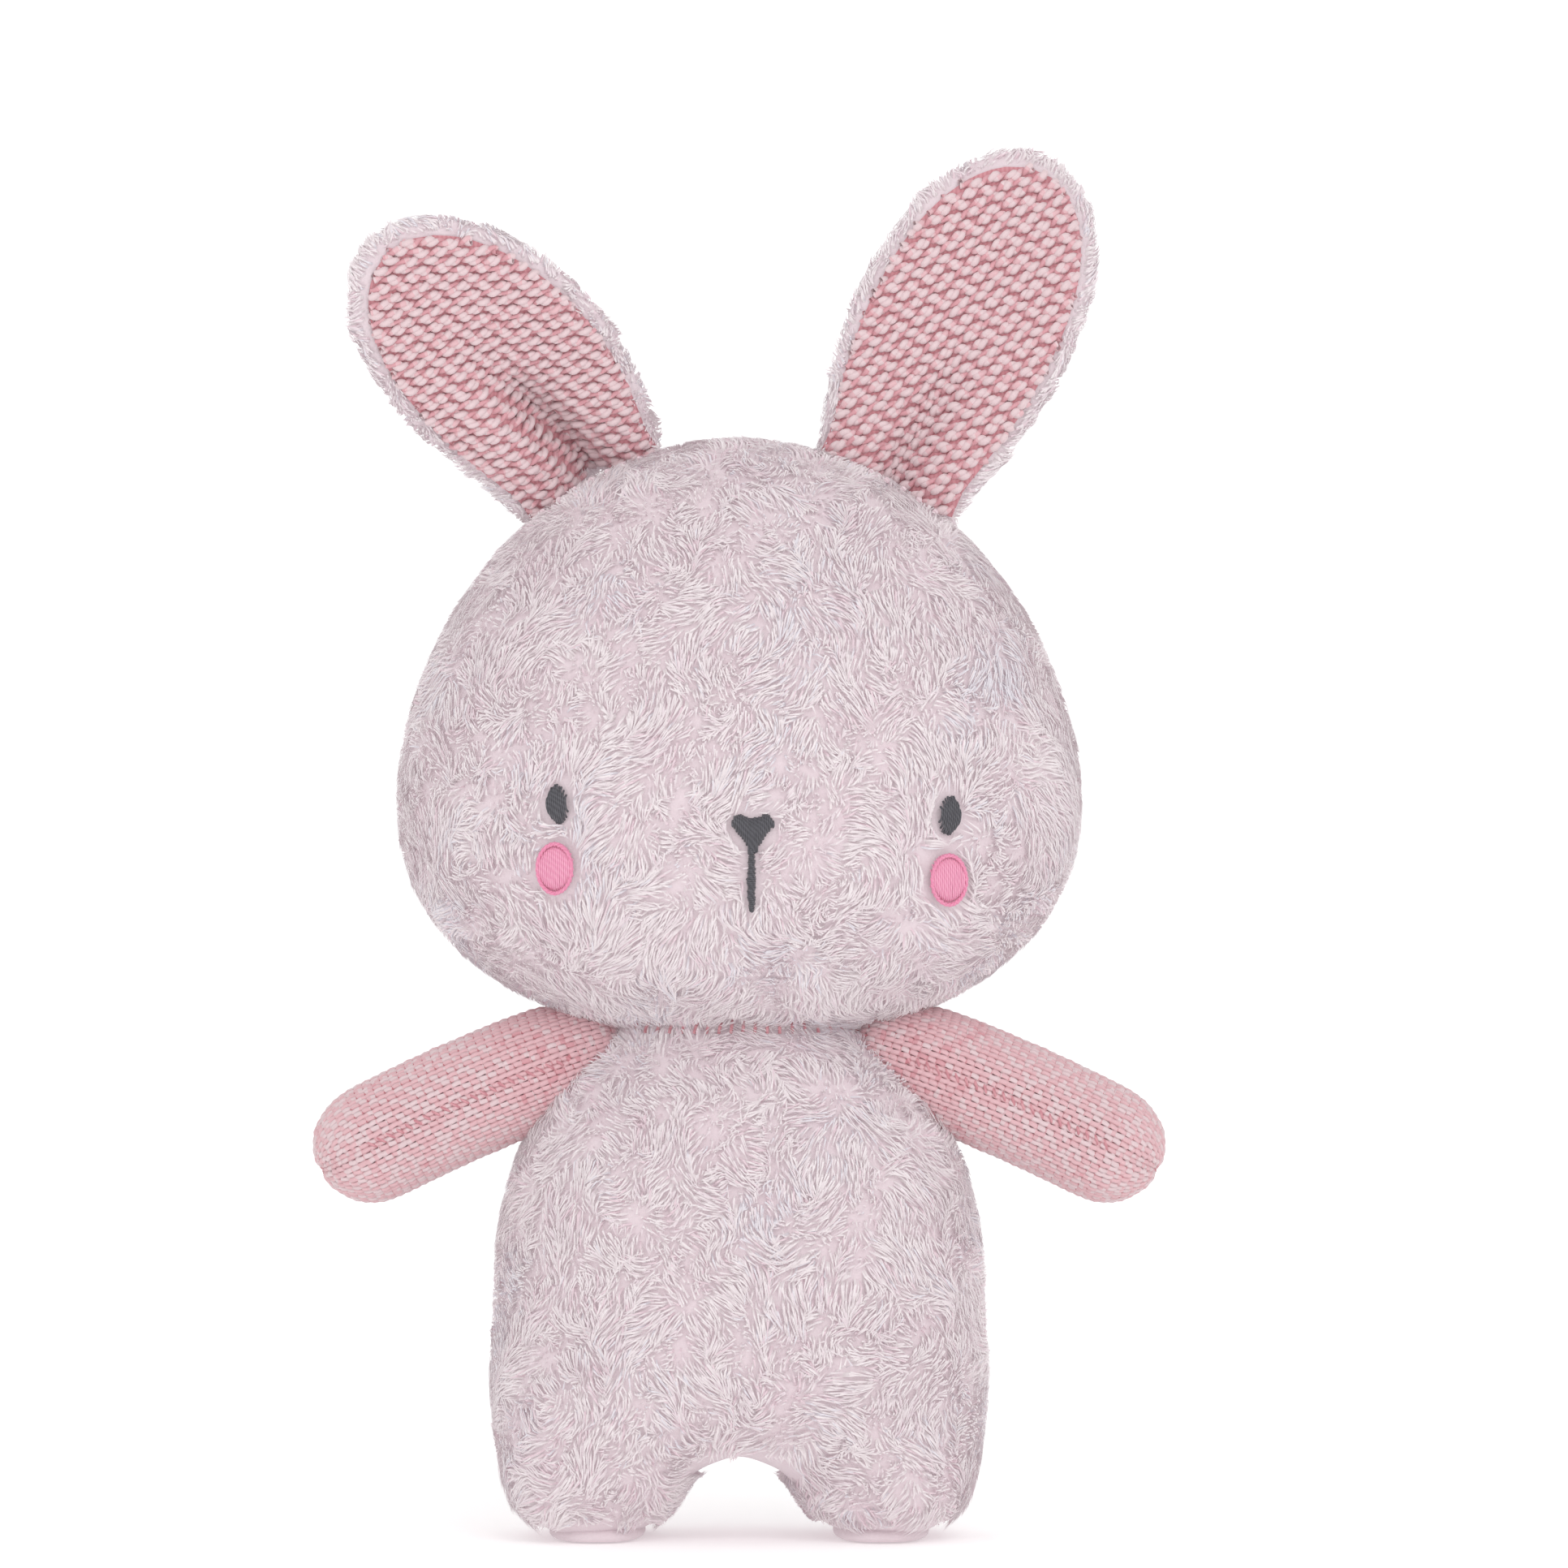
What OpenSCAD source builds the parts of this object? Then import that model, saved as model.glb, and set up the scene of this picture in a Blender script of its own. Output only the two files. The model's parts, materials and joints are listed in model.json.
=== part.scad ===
// Stuffed bunny toy: a plush head, body and legs, knitted arms and ear linings, and an embroidered
// face, each a separate sewn piece round its own wad of filling.
// The toy stands on its soles at z = 0 and faces -Y, so its own left side is +X.

/* [Head] */
// Width of the stuffed head
head_w = 165; // [130:1:200]
// Front to back depth of the stuffed head
head_d = 104; // [80:1:130]
// Height from the widest line of the head up to the crown
crown_h = 90; // [70:1:110]
// Height from the chin up to the widest line of the head
chin_h = 54; // [44:1:66]

/* [Neck] */
// Radius of the wad of filling that the head turns on
neck_r = 22; // [17:0.5:27]
// Height of the centre of the neck wad above the shoulders
neck_rise = 4; // [2:0.5:8]

/* [Torso] */
// Widest width of the torso
torso_w = 121; // [100:1:145]
// Front to back depth of the torso, which is also the round that the legs swing on
torso_d = 80; // [64:1:96]
// Height of the hip axis above the floor
hip_z = 60; // [54:1:70]
// Height from the hip axis up to the shoulders
chest_h = 54; // [46:1:66]
// How square the shoulders are, where 2 is a plain ellipse
chest_fullness = 2.7; // [2:0.1:3.5]
// How square the bottom of the torso is, where 2 is a plain ellipse
seat_fullness = 5; // [3:0.5:6]

/* [Legs] */
// Width of the foot at the sole
foot_w = 36; // [28:1:44]
// Front to back length of the foot at the sole
foot_d = 62; // [50:1:72]
// Gap between the feet at the floor
foot_gap = 31; // [22:1:40]
// Gap between the tops of the legs
leg_gap = 5; // [3:0.5:9]
// Rounding of the foot's lower edge
foot_round = 7; // [4:0.5:9]
// Height of the front and back lips of the leg, where the hip folds
hip_lip_z = 39; // [34:1:44]
// Thickness of the stiff sole sewn under the foot
sole_t = 2.4; // [1.6:0.2:3]

/* [Arms] */
// Distance of each shoulder from the middle of the toy
shoulder_x = 45; // [40:0.5:52]
// Height of the shoulders above the hip axis
shoulder_rise = 50.5; // [46:0.5:54]
// Radius of the arm where its gathered end turns in the body
arm_root_r = 11.5; // [9:0.5:13]
// Radius of the arm along its stuffed length
arm_r = 14.7; // [11:0.1:17]
// Distance from the shoulder out to the centre of the rounded hand
arm_reach = 42; // [34:0.5:52]
// Drop from the shoulder down to the centre of the rounded hand
arm_drop = 17.8; // [8:0.1:26]
// How far the arm bows up between the shoulder and the hand
arm_bow = 9; // [0:0.5:10]

/* [Ears] */
// Length of each ear from its root to its tip
ear_l = 84; // [70:1:110]
// Widest width of each ear
ear_w = 57; // [44:1:70]
// Thickness through the middle of each ear
ear_t = 14; // [9:0.5:18]
// Width of the ear along its sewn root
ear_root_w = 34; // [24:1:44]
// Distance of each ear's root from the middle of the head
ear_x = 36.5; // [30:0.5:44]
// Outward lean of the toy's left ear
left_ear_lean = 24.4; // [10:0.1:35]
// Outward lean of the toy's right ear
right_ear_lean = 30.8; // [10:0.1:40]
// Forward nod of the toy's left ear as it stands
left_ear_nod = 4; // [0:1:20]
// Forward nod of the toy's right ear as it stands
right_ear_nod = 32; // [0:1:38]

/* [Face] */
// Sideways shift of the whole face from the middle of the head
face_shift = 3.5; // [0:0.5:6]
// Clockwise tilt of the whole face in degrees
face_tilt = 1.6; // [0:0.1:4]
// Distance between the centres of the eyes
eye_spacing = 90; // [70:1:104]
// Width of each embroidered eye
eye_w = 5.4; // [4:0.1:8]
// Height of each embroidered eye
eye_h = 8.6; // [6:0.1:12]
// Width of the embroidered nose
nose_w = 11.6; // [8:0.1:15]
// Height of the embroidered nose
nose_h = 7.6; // [5:0.1:10]
// Drop from the eye line to the middle of the nose
nose_drop = 5; // [3:0.5:9]
// Length of the stitched mouth line below the nose
mouth_l = 13; // [8:0.5:18]
// Width of the stitched mouth line
mouth_w = 2.3; // [1.5:0.1:3.5]
// Width of each embroidered cheek
cheek_w = 9; // [7:0.1:12]
// Height of each embroidered cheek
cheek_h = 12.2; // [9:0.1:15]
// Drop from the eye line to the middle of the cheeks
cheek_drop = 14.5; // [12:0.5:18]

/* [Fabric] */
// Thickness of the plush, backing and pile together
plush_t = 5; // [3:0.5:7]
// Thickness of the knitted fabric
knit_t = 3; // [2:0.5:4]
// Height that the embroidery stands proud of the plush
stitch_proud = 1.2; // [0.8:0.1:2]
// Diameter of the sewing thread
thread_d = 1.4; // [1:0.1:2]
// Number of stitches that close the back opening
closing_count = 9; // [5:1:13]
// Width of the blank care label
label_w = 14; // [10:1:20]
// Length of the blank care label
label_l = 18; // [12:1:26]

/* [Clearance] */
// Gap between pieces that move on each other
swing_gap = 0.9; // [0.7:0.1:1.2]
// Gap between a fabric piece and the filling inside it
fill_gap = 0.2; // [0.1:0.1:0.4]
// Gap between an ear's root and the head that it flops on
ear_gap = 2.2; // [1.8:0.1:3]

/* [Hidden] */

plush_pink = "#DDCED2";
knit_rose = "#DDB3B7";
thread_charcoal = "#505058";
thread_pink = "#EDA9C4";
filling_white = "#F4F2EE";

shoulder_top = hip_z + chest_h;
neck_z = shoulder_top + neck_rise;
head_z = neck_z + chin_h;
shoulder_z = hip_z + shoulder_rise;
seat_r = torso_d / 2;
leg_out = torso_w / 2 - 2;
eye_z = head_z;
left = 1;
right = -1;
front = -1;
back = 1;

// How far each domed skin closes toward its middle, in degrees, and how finely it is drawn
pole = 84;
turns = 36;
steps = 9;
ear_rows = 11;
ear_steps = 6;
wadding_steps = 5;
arm_sides = 24;
arm_steps = 7;
hand_steps = 5;

// Shape of the ears, as shares of their length and thickness
ear_widest = 0.45;
ear_tip_power = 2.3;
ear_tip_share = 0.995;
ear_middle = 0.42 * ear_l;
ear_back_t = ear_t * 0.36;
ear_lining_t = ear_t * 0.25;
ear_stitch_count = 7;
ear_stitch_depth = 3.4;

// Shape of the arms: the narrow gathered end, how soon it swells out, and where it bows most
arm_throat = 0.62;
arm_swell = 2.2;
arm_bow_power = 0.75;
gather_t = arm_root_r * 0.3;
arm_ball_r = arm_root_r - gather_t - swing_gap;
seam_stitch_count = 11;

// Shape of the legs: the lip that stands out round the seat, and the rows they are drawn with
hip_lip = 3;
leg_d = sqrt(pow(seat_r + swing_gap, 2) - pow(hip_z - hip_lip_z, 2)) + hip_lip;
leg_shares = [0, 0.04, 0.1, 0.2, 0.35, 0.55, 0.78, 1];
sole_inset = foot_round * 0.6;

// Places of the sewn details on the torso
collar_drop = 3.4;
closing_rise = 8;
closing_pitch = 4;
label_t = 0.8;
label_lean = 92;

// ---- Surfaces as rows of points ----

function strip(a, b, m, closed) = [
    for (c = [0:m - (closed ? 1 : 2)])
        [a + c, a + (c + 1) % m, b + (c + 1) % m, b + c]
];
function side(rows, start, m, closed) = [
    for (r = [0:rows - 2]) each strip(start + r * m, start + (r + 1) * m, m, closed)
];
function flipped(faces) = [for (f = faces) [for (i = [len(f) - 1:-1:0]) f[i]]];
function flat_list(rows) = [for (row = rows) each row];

// A solid through closed rings, with a flat end on each side
module solid_loft(rings) {
    m = len(rings[0]);
    n = len(rings);
    first = [for (c = [0:m - 1]) c];
    last = [for (c = [0:m - 1]) (n - 1) * m + m - 1 - c];
    ends = flipped([first, last]);
    polyhedron(flat_list(rings), concat(side(n, 0, m, true), ends));
}

// A bowl of fabric: closed rings from the open rim to the domed end, outside and inside
module bowl(outer, inner) {
    m = len(outer[0]);
    n = len(outer);
    inside = n * m;
    cap = [for (c = [m - 1:-1:0]) (n - 1) * m + c];
    inner_cap = [for (c = [0:m - 1]) inside + (n - 1) * m + c];
    polyhedron(
        concat(flat_list(outer), flat_list(inner)),
        concat(
            side(n, 0, m, true), flipped([cap]),
            flipped(side(n, inside, m, true)), flipped([inner_cap]),
            strip(inside, 0, m, true)
        )
    );
}

// A bent sheet of fabric: open rows of points, outside and inside, joined round all four edges
module sheet(outer, inner) {
    m = len(outer[0]);
    n = len(outer);
    inside = n * m;
    far = (n - 1) * m;
    edge_a = [for (r = [0:n - 2]) [r * m, (r + 1) * m, inside + (r + 1) * m, inside + r * m]];
    edge_b = [
        for (r = [0:n - 2])
            [r * m + m - 1, inside + r * m + m - 1, inside + (r + 1) * m + m - 1, (r + 1) * m + m - 1]
    ];
    polyhedron(
        concat(flat_list(outer), flat_list(inner)),
        concat(
            side(n, 0, m, false), flipped(side(n, inside, m, false)),
            strip(inside, 0, m, false), strip(far, inside + far, m, false), edge_a, edge_b
        )
    );
}

function mix(a, b, t) = a + (b - a) * t;
function ease(t) = t * t * (3 - 2 * t);
function power(v, p) = sign(v) * pow(abs(v), p);

// ---- Head ----

// Seam outline of the head, shrunk by an inset, as [x, z] from its widest line
function head_outline(a, inset) = [
    (head_w / 2 - inset) * cos(a),
    (sin(a) > 0 ? crown_h - inset : chin_h - inset) * sin(a)
];
function head_ring(tilt, inset, facing) = [
    for (i = [0:turns - 1])
        let (p = head_outline(facing * i * 360 / turns, inset))
        [
            p[0] * cos(tilt),
            facing * (head_d / 2 - inset) * sin(tilt),
            head_z + p[1] * cos(tilt)
        ]
];
function head_rings(from, inset, facing) = [
    for (k = [0:steps]) head_ring(mix(from, pole, k / steps), inset, facing)
];

module neck_socket() {
    translate([0, 0, neck_z])
        sphere(neck_r + swing_gap);
}
module head_panel(facing) {
    color(plush_pink)
        difference() {
            bowl(head_rings(0, 0, facing), head_rings(0, plush_t, facing));
            neck_socket();
        }
}
module head_front() { head_panel(front); }
module head_back() { head_panel(back); }
module head_stuffing() {
    color(filling_white)
        difference() {
            solid_loft([
                for (k = [-steps:steps]) head_ring(k * pole / steps, plush_t + fill_gap, back)
            ]);
            neck_socket();
        }
}
module neck_stuffing() {
    color(filling_white)
        translate([0, 0, neck_z])
            sphere(neck_r);
}

// ---- Face ----

// Depth of the head's front at a place on the face, measured from the eye line
function face_y(x, z) = -head_d / 2 * sqrt(
    1 - pow(x / (head_w / 2), 2) - pow(z / (z > 0 ? crown_h : chin_h), 2)
);
// A place on the face after the face's own shift and tilt, as [x, y, z] from the eye line
function face_point(x, z) =
    let (u = x * cos(face_tilt) + z * sin(face_tilt) + face_shift)
    let (w = z * cos(face_tilt) - x * sin(face_tilt))
    [u, face_y(u, w), w];

// One embroidered patch: an outline that rises from under the pile to a low crown
module stitched_patch(x, z, outline) {
    count = len(outline);
    levels = [[1, -1.5], [1, stitch_proud * 0.5], [0.8, stitch_proud], [0.2, stitch_proud * 1.2]];
    solid_loft([
        for (level = levels) [
            for (i = [0:count - 1])
                let (p = face_point(x + outline[count - 1 - i][0] * level[0],
                                    z + outline[count - 1 - i][1] * level[0]))
                [p[0], p[1] - level[1], eye_z + p[2]]
        ]
    ]);
}
function oval(w, h, fullness) = [
    for (i = [0:19])
        [w / 2 * power(cos(i * 18), fullness), h / 2 * power(sin(i * 18), fullness)]
];
function rounded_triangle(w, h) = [
    for (i = [0:23])
        let (a = i * 15)
        [w / 2 * cos(a) * (0.8 + 0.28 * sin(a)), h / 2 * power(sin(a), 0.9)]
];

module eye(x) {
    color(thread_charcoal)
        stitched_patch(x, 0, oval(eye_w, eye_h, 1));
}
module cheek(x) {
    color(thread_pink)
        stitched_patch(x, -cheek_drop, oval(cheek_w, cheek_h, 0.9));
}
module left_eye() { eye(eye_spacing / 2); }
module right_eye() { eye(-eye_spacing / 2); }
module left_cheek() { cheek(eye_spacing / 2); }
module right_cheek() { cheek(-eye_spacing / 2); }
module nose() {
    color(thread_charcoal)
        stitched_patch(0, -nose_drop, rounded_triangle(nose_w, nose_h));
}
module mouth() {
    top = -nose_drop - nose_h / 2 - swing_gap;
    color(thread_charcoal)
        stitched_patch(0, top - mouth_l / 2, oval(mouth_w, mouth_l, 0.6));
}

// ---- Ears ----

// Seam outline of an ear in its own plane: the root is the straight edge at z = 0
function ear_half_width(t) = t < ear_widest
    ? mix(ear_root_w / 2, ear_w / 2, sin(t / ear_widest * 90))
    : ear_w / 2 * sqrt(1 - pow((t - ear_widest) / (1 - ear_widest), ear_tip_power));
function ear_edge(k, sign_x) =
    let (t = 1 - pow(1 - k / ear_rows, 1.7))
    [sign_x * ear_half_width(t * ear_tip_share), t * ear_l];
ear_outline = concat(
    [for (k = [0:ear_rows]) ear_edge(k, 1)],
    [for (k = [ear_rows:-1:0]) ear_edge(k, -1)]
);
function ear_ring(tilt, inset, facing) =
    let (m = len(ear_outline))
    [
        for (i = [0:m - 1])
            let (p = ear_outline[facing < 0 ? m - 1 - i : i])
            [
                p[0] * (1 - inset / (ear_w / 2)) * cos(tilt),
                facing * (ear_t / 2 - inset) * sin(tilt),
                ear_middle + (p[1] - ear_middle) * (1 - inset / ear_middle) * cos(tilt)
            ]
    ];
function ear_rings(thickness, facing) = [
    for (k = [0:ear_steps]) ear_ring(k * pole / ear_steps, thickness, facing)
];

// Top of the head's outline at a distance from its middle, and how far it leans out there
function head_top(x) = [x, 0, head_z + crown_h * sqrt(1 - pow(x / (head_w / 2), 2))];
function head_lean(x) = atan2(x / pow(head_w / 2, 2), (head_top(x)[2] - head_z) / pow(crown_h, 2));

// The ear's root lies along the head's outline, just clear of it
module at_ear(hand) {
    lean = hand > 0 ? left_ear_lean : right_ear_lean;
    nod = hand > 0 ? left_ear_nod : right_ear_nod;
    translate(head_top(hand * ear_x))
        rotate([0, hand * lean, 0])
            translate([0, 0, ear_gap])
                rotate([nod, 0, 0])
                    children();
}
module ear_shell(hand, facing, thickness) {
    at_ear(hand)
        bowl(ear_rings(0, facing), ear_rings(thickness, facing));
}
module left_ear_back() { color(plush_pink) ear_shell(left, back, ear_back_t); }
module right_ear_back() { color(plush_pink) ear_shell(right, back, ear_back_t); }
module left_ear_lining() { color(knit_rose) ear_shell(left, front, ear_lining_t); }
module right_ear_lining() { color(knit_rose) ear_shell(right, front, ear_lining_t); }
module ear_wadding(hand) {
    color(filling_white)
        at_ear(hand)
            solid_loft([
                for (k = [-wadding_steps:wadding_steps])
                    let (cover = k < 0 ? ear_lining_t : ear_back_t)
                    ear_ring(k * pole / wadding_steps, cover + fill_gap, back)
            ]);
}
module left_ear_wadding() { ear_wadding(left); }
module right_ear_wadding() { ear_wadding(right); }

// Whip stitches that hold an ear's root down to the head
module ear_stitches(hand) {
    for (i = [0:ear_stitch_count - 1]) {
        x = hand * (ear_x + (i / (ear_stitch_count - 1) - 0.5) * ear_root_w * 0.7);
        for (facing = [front, back])
            translate(head_top(x))
                rotate([0, head_lean(x), 0])
                    translate([0, facing * 4, -ear_stitch_depth])
                        rotate([90, 0, 0])
                            cylinder(d = thread_d, h = 5, center = true, $fn = 16);
    }
}
module left_ear_stitches() { color(plush_pink) ear_stitches(left); }
module right_ear_stitches() { color(plush_pink) ear_stitches(right); }

// ---- Torso ----

// Seam outline of the torso, shrunk by an inset, as [x, z] from the hip axis
function torso_outline(a, inset) =
    let (s = sin(a))
    let (p = s > 0 ? chest_fullness : seat_fullness)
    [
        (torso_w / 2 - inset) * cos(a),
        s > 0 ? (chest_h - inset) * pow(s, 2 / p) : -(seat_r - inset) * pow(-s, 2 / p)
    ];
function torso_ring(tilt, inset, facing) = [
    for (i = [0:turns - 1])
        let (p = torso_outline(facing * (i + 0.5) * 360 / turns, inset))
        [p[0] * cos(tilt), facing * (seat_r - inset) * sin(tilt), hip_z + p[1] * cos(tilt)]
];
function torso_rings(from, inset, facing) = [
    for (k = [0:steps]) torso_ring(mix(from, pole, k / steps), inset, facing)
];
function shoulder_point(hand) = [hand * shoulder_x, 0, shoulder_z];
module torso_sockets() {
    neck_socket();
    for (hand = [left, right])
        translate(shoulder_point(hand))
            sphere(arm_root_r + swing_gap);
}
module body_panel(facing) {
    color(plush_pink)
        difference() {
            bowl(torso_rings(0, 0, facing), torso_rings(0, plush_t, facing));
            torso_sockets();
        }
}
module body_front() { body_panel(front); }
module body_back() { body_panel(back); }
module body_stuffing() {
    color(filling_white)
        difference() {
            solid_loft([
                for (k = [-steps:steps]) torso_ring(k * pole / steps, plush_t + fill_gap, back)
            ]);
            torso_sockets();
        }
}

// Thread round the neck opening of the body, drawn up round the neck wad
module neck_stitches() {
    ring_z = -neck_rise - collar_drop;
    ring_r = sqrt(pow(neck_r + swing_gap + thread_d * 0.55, 2) - pow(ring_z, 2));
    color(plush_pink)
        translate([0, 0, neck_z + ring_z])
            rotate_extrude($fn = 48)
                translate([ring_r, 0])
                    circle(d = thread_d, $fn = 16);
}

// Ladder stitches that close the opening in the back once the toy is filled
module closing_stitches() {
    color(plush_pink)
        for (i = [0:closing_count - 1]) {
            z = closing_rise + (i - (closing_count - 1) / 2) * closing_pitch;
            y = seat_r * sqrt(1 - pow(z / (z > 0 ? chest_h : seat_r), 2));
            translate([0, y, hip_z + z])
                rotate([0, 90, 0])
                    cylinder(d = thread_d, h = 5, center = true, $fn = 16);
        }
}

// Blank folded tape sewn into the left side seam
module care_label() {
    color(filling_white)
        translate([torso_w / 2 - 3, 2, hip_z - label_w / 2])
            rotate([0, 0, label_lean])
                cube([label_l, label_t, label_w]);
}

// ---- Arms ----

// Centre line of an arm from its shoulder: straight to the hand, with a bow between
function arm_centre(t) =
    [arm_reach * t, 0, -arm_drop * t + arm_bow * sin(180 * pow(t, arm_bow_power))];
function arm_radius(t, inset) =
    mix(arm_root_r * arm_throat, arm_r, ease(min(1, t * arm_swell))) - inset;
function arm_across(t) =
    let (d = arm_centre(t + 0.01) - arm_centre(t - 0.01))
    [-d[2], 0, d[0]] / norm(d);
function arm_along(t) =
    let (a = arm_across(t))
    [a[2], 0, -a[0]];
function arm_circle(centre, along, across, r) = [
    for (i = [0:arm_sides - 1])
        centre + r * cos(i * 360 / arm_sides) * across + [0, r * sin(i * 360 / arm_sides), 0]
];
function arm_rings(inset) = concat(
    [
        for (k = [0:arm_steps])
            let (t = max(0.02, k / arm_steps))
            arm_circle(arm_centre(t), arm_along(t), arm_across(t), arm_radius(t, inset))
    ],
    [
        for (k = [1:hand_steps])
            let (a = k * 82.5 / hand_steps, r = arm_radius(1, inset))
            let (middle = arm_centre(1) + r * sin(a) * arm_along(1))
            arm_circle(middle, arm_along(1), arm_across(1), r * cos(a))
    ]
);
module at_shoulder(hand) {
    translate(shoulder_point(hand))
        mirror([hand < 0 ? 1 : 0, 0, 0])
            children();
}
module shoulder_gather(hand) {
    color(knit_rose)
        at_shoulder(hand)
            difference() {
                sphere(arm_root_r);
                sphere(arm_root_r - gather_t);
                translate([-gather_t, -2 * arm_root_r, -2 * arm_root_r])
                    cube(4 * arm_root_r);
            }
}
module left_shoulder_gather() { shoulder_gather(left); }
module right_shoulder_gather() { shoulder_gather(right); }
module arm_knit(hand) {
    outer = arm_rings(0);
    inner = arm_rings(knit_t);
    last = arm_steps + hand_steps;
    color(knit_rose)
        at_shoulder(hand)
            bowl([for (k = [1:last]) outer[k]], [for (k = [1:last]) inner[k]]);
}
module left_arm_knit() { arm_knit(left); }
module right_arm_knit() { arm_knit(right); }
module arm_stuffing(hand) {
    rings = arm_rings(knit_t + fill_gap);
    color(filling_white)
        at_shoulder(hand)
            union() {
                sphere(arm_ball_r);
                solid_loft(rings);
            }
}
module left_arm_stuffing() { arm_stuffing(left); }
module right_arm_stuffing() { arm_stuffing(right); }

// Mattress stitches down the front of an arm, where the knitted tube is closed
module arm_seam(hand) {
    color(knit_rose)
        at_shoulder(hand)
            for (i = [0:seam_stitch_count - 1]) {
                t = mix(0.3, 1, i / (seam_stitch_count - 1));
                translate(arm_centre(t) + [0, -arm_radius(t, 0) - thread_d * 0.1, 0])
                    rotate([0, 90 + atan2(arm_across(t)[0], arm_across(t)[2]), 0])
                        cylinder(d = thread_d, h = 2.6, center = true, $fn = 16);
            }
}
module left_arm_seam() { arm_seam(left); }
module right_arm_seam() { arm_seam(right); }

// ---- Legs ----

// The top of a leg is hollowed round the torso, so its height depends on how far forward it is
function leg_top(y) = min(hip_lip_z, hip_z - sqrt(pow(seat_r + swing_gap, 2) - pow(y, 2)));
function corner_inset(z) = z < foot_round
    ? foot_round - sqrt(pow(foot_round, 2) - pow(foot_round - z, 2))
    : 0;

// A point on the leg at a share of its height, where a runs round from its outer side
function leg_point(share, a, inset, floor_z) =
    let (inner_x = mix(foot_gap / 2, leg_gap / 2, pow(share, 0.8)) + inset)
    let (outer_x = mix(foot_gap / 2 + foot_w, leg_out, pow(share, 0.6)) - inset)
    let (deep = mix(foot_d / 2, leg_d, ease(share)) - inset)
    let (round_in = corner_inset(mix(floor_z, leg_top(0), share)))
    let (wide = (outer_x - inner_x) / 2 - round_in)
    let (y = -(deep - round_in) * power(sin(a), 0.8))
    [
        (inner_x + outer_x) / 2 + wide * power(cos(a), 0.8),
        y,
        mix(floor_z, leg_top(y), share)
    ];
function leg_rows(from, to, inset, floor_z) = [
    for (share = leg_shares)
        [for (i = [0:18]) leg_point(share, mix(from, to, i / 18), inset, floor_z)]
];
module leg_panel(hand, from) {
    color(plush_pink)
        mirror([hand < 0 ? 1 : 0, 0, 0])
            sheet(
                leg_rows(from, from + 180, 0, sole_t),
                leg_rows(from, from + 180, plush_t, sole_t)
            );
}
module left_leg_front() { leg_panel(left, 0); }
module left_leg_back() { leg_panel(left, 180); }
module right_leg_front() { leg_panel(right, 0); }
module right_leg_back() { leg_panel(right, 180); }
module leg_stuffing(hand) {
    inset = plush_t + fill_gap;
    rows = leg_rows(0, 360, inset, sole_t + fill_gap);
    middle = (leg_gap / 2 + leg_out) / 2;
    top = rows[len(rows) - 1];
    color(filling_white)
        mirror([hand < 0 ? 1 : 0, 0, 0])
            solid_loft(concat(
                [for (row = rows) [for (i = [0:17]) row[i]]],
                [
                    for (scale = [0.6, 0.1]) [
                        for (i = [0:17])
                            let (y = top[i][1] * scale)
                            [middle + (top[i][0] - middle) * scale, y, leg_top(y)]
                    ]
                ]
            ));
}
module left_leg_stuffing() { leg_stuffing(left); }
module right_leg_stuffing() { leg_stuffing(right); }
module sole(hand) {
    color(plush_pink)
        mirror([hand < 0 ? 1 : 0, 0, 0])
            translate([foot_gap / 2 + foot_w / 2, 0, 0])
                hull() {
                    for (u = [-1, 1])
                        translate([0, u * (foot_d - foot_w) / 2, 0])
                            cylinder(d = foot_w - 2 * sole_inset, h = sole_t, $fn = 48);
                }
}
module left_sole() { sole(left); }
module right_sole() { sole(right); }

head_front();
head_back();
head_stuffing();
left_eye();
right_eye();
nose();
mouth();
left_cheek();
right_cheek();
left_ear_stitches();
right_ear_stitches();
neck_stuffing();
left_ear_back();
left_ear_lining();
left_ear_wadding();
right_ear_back();
right_ear_lining();
right_ear_wadding();
body_front();
body_back();
body_stuffing();
neck_stitches();
closing_stitches();
care_label();
left_shoulder_gather();
left_arm_knit();
left_arm_stuffing();
left_arm_seam();
right_shoulder_gather();
right_arm_knit();
right_arm_stuffing();
right_arm_seam();
left_leg_front();
left_leg_back();
left_leg_stuffing();
left_sole();
right_leg_front();
right_leg_back();
right_leg_stuffing();
right_sole();
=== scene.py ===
# %% [markdown]
# A stuffed bunny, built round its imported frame.
# The frame holds every panel, joint and size of the toy. This lesson dresses it: each stuffed
# piece becomes a padded cover blown up by a cloth simulation, the plush gets a real pile of
# strands, the arms and ear linings are knitted from real yarn, and the face is embroidered
# thread by thread. Everything is worked out from the frame's own boxes and joints.

# %% Load the frame
import json
import math

import bmesh
import bpy
import numpy as np
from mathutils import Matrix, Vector
from mathutils.bvhtree import BVHTree
from mathutils.kdtree import KDTree

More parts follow.
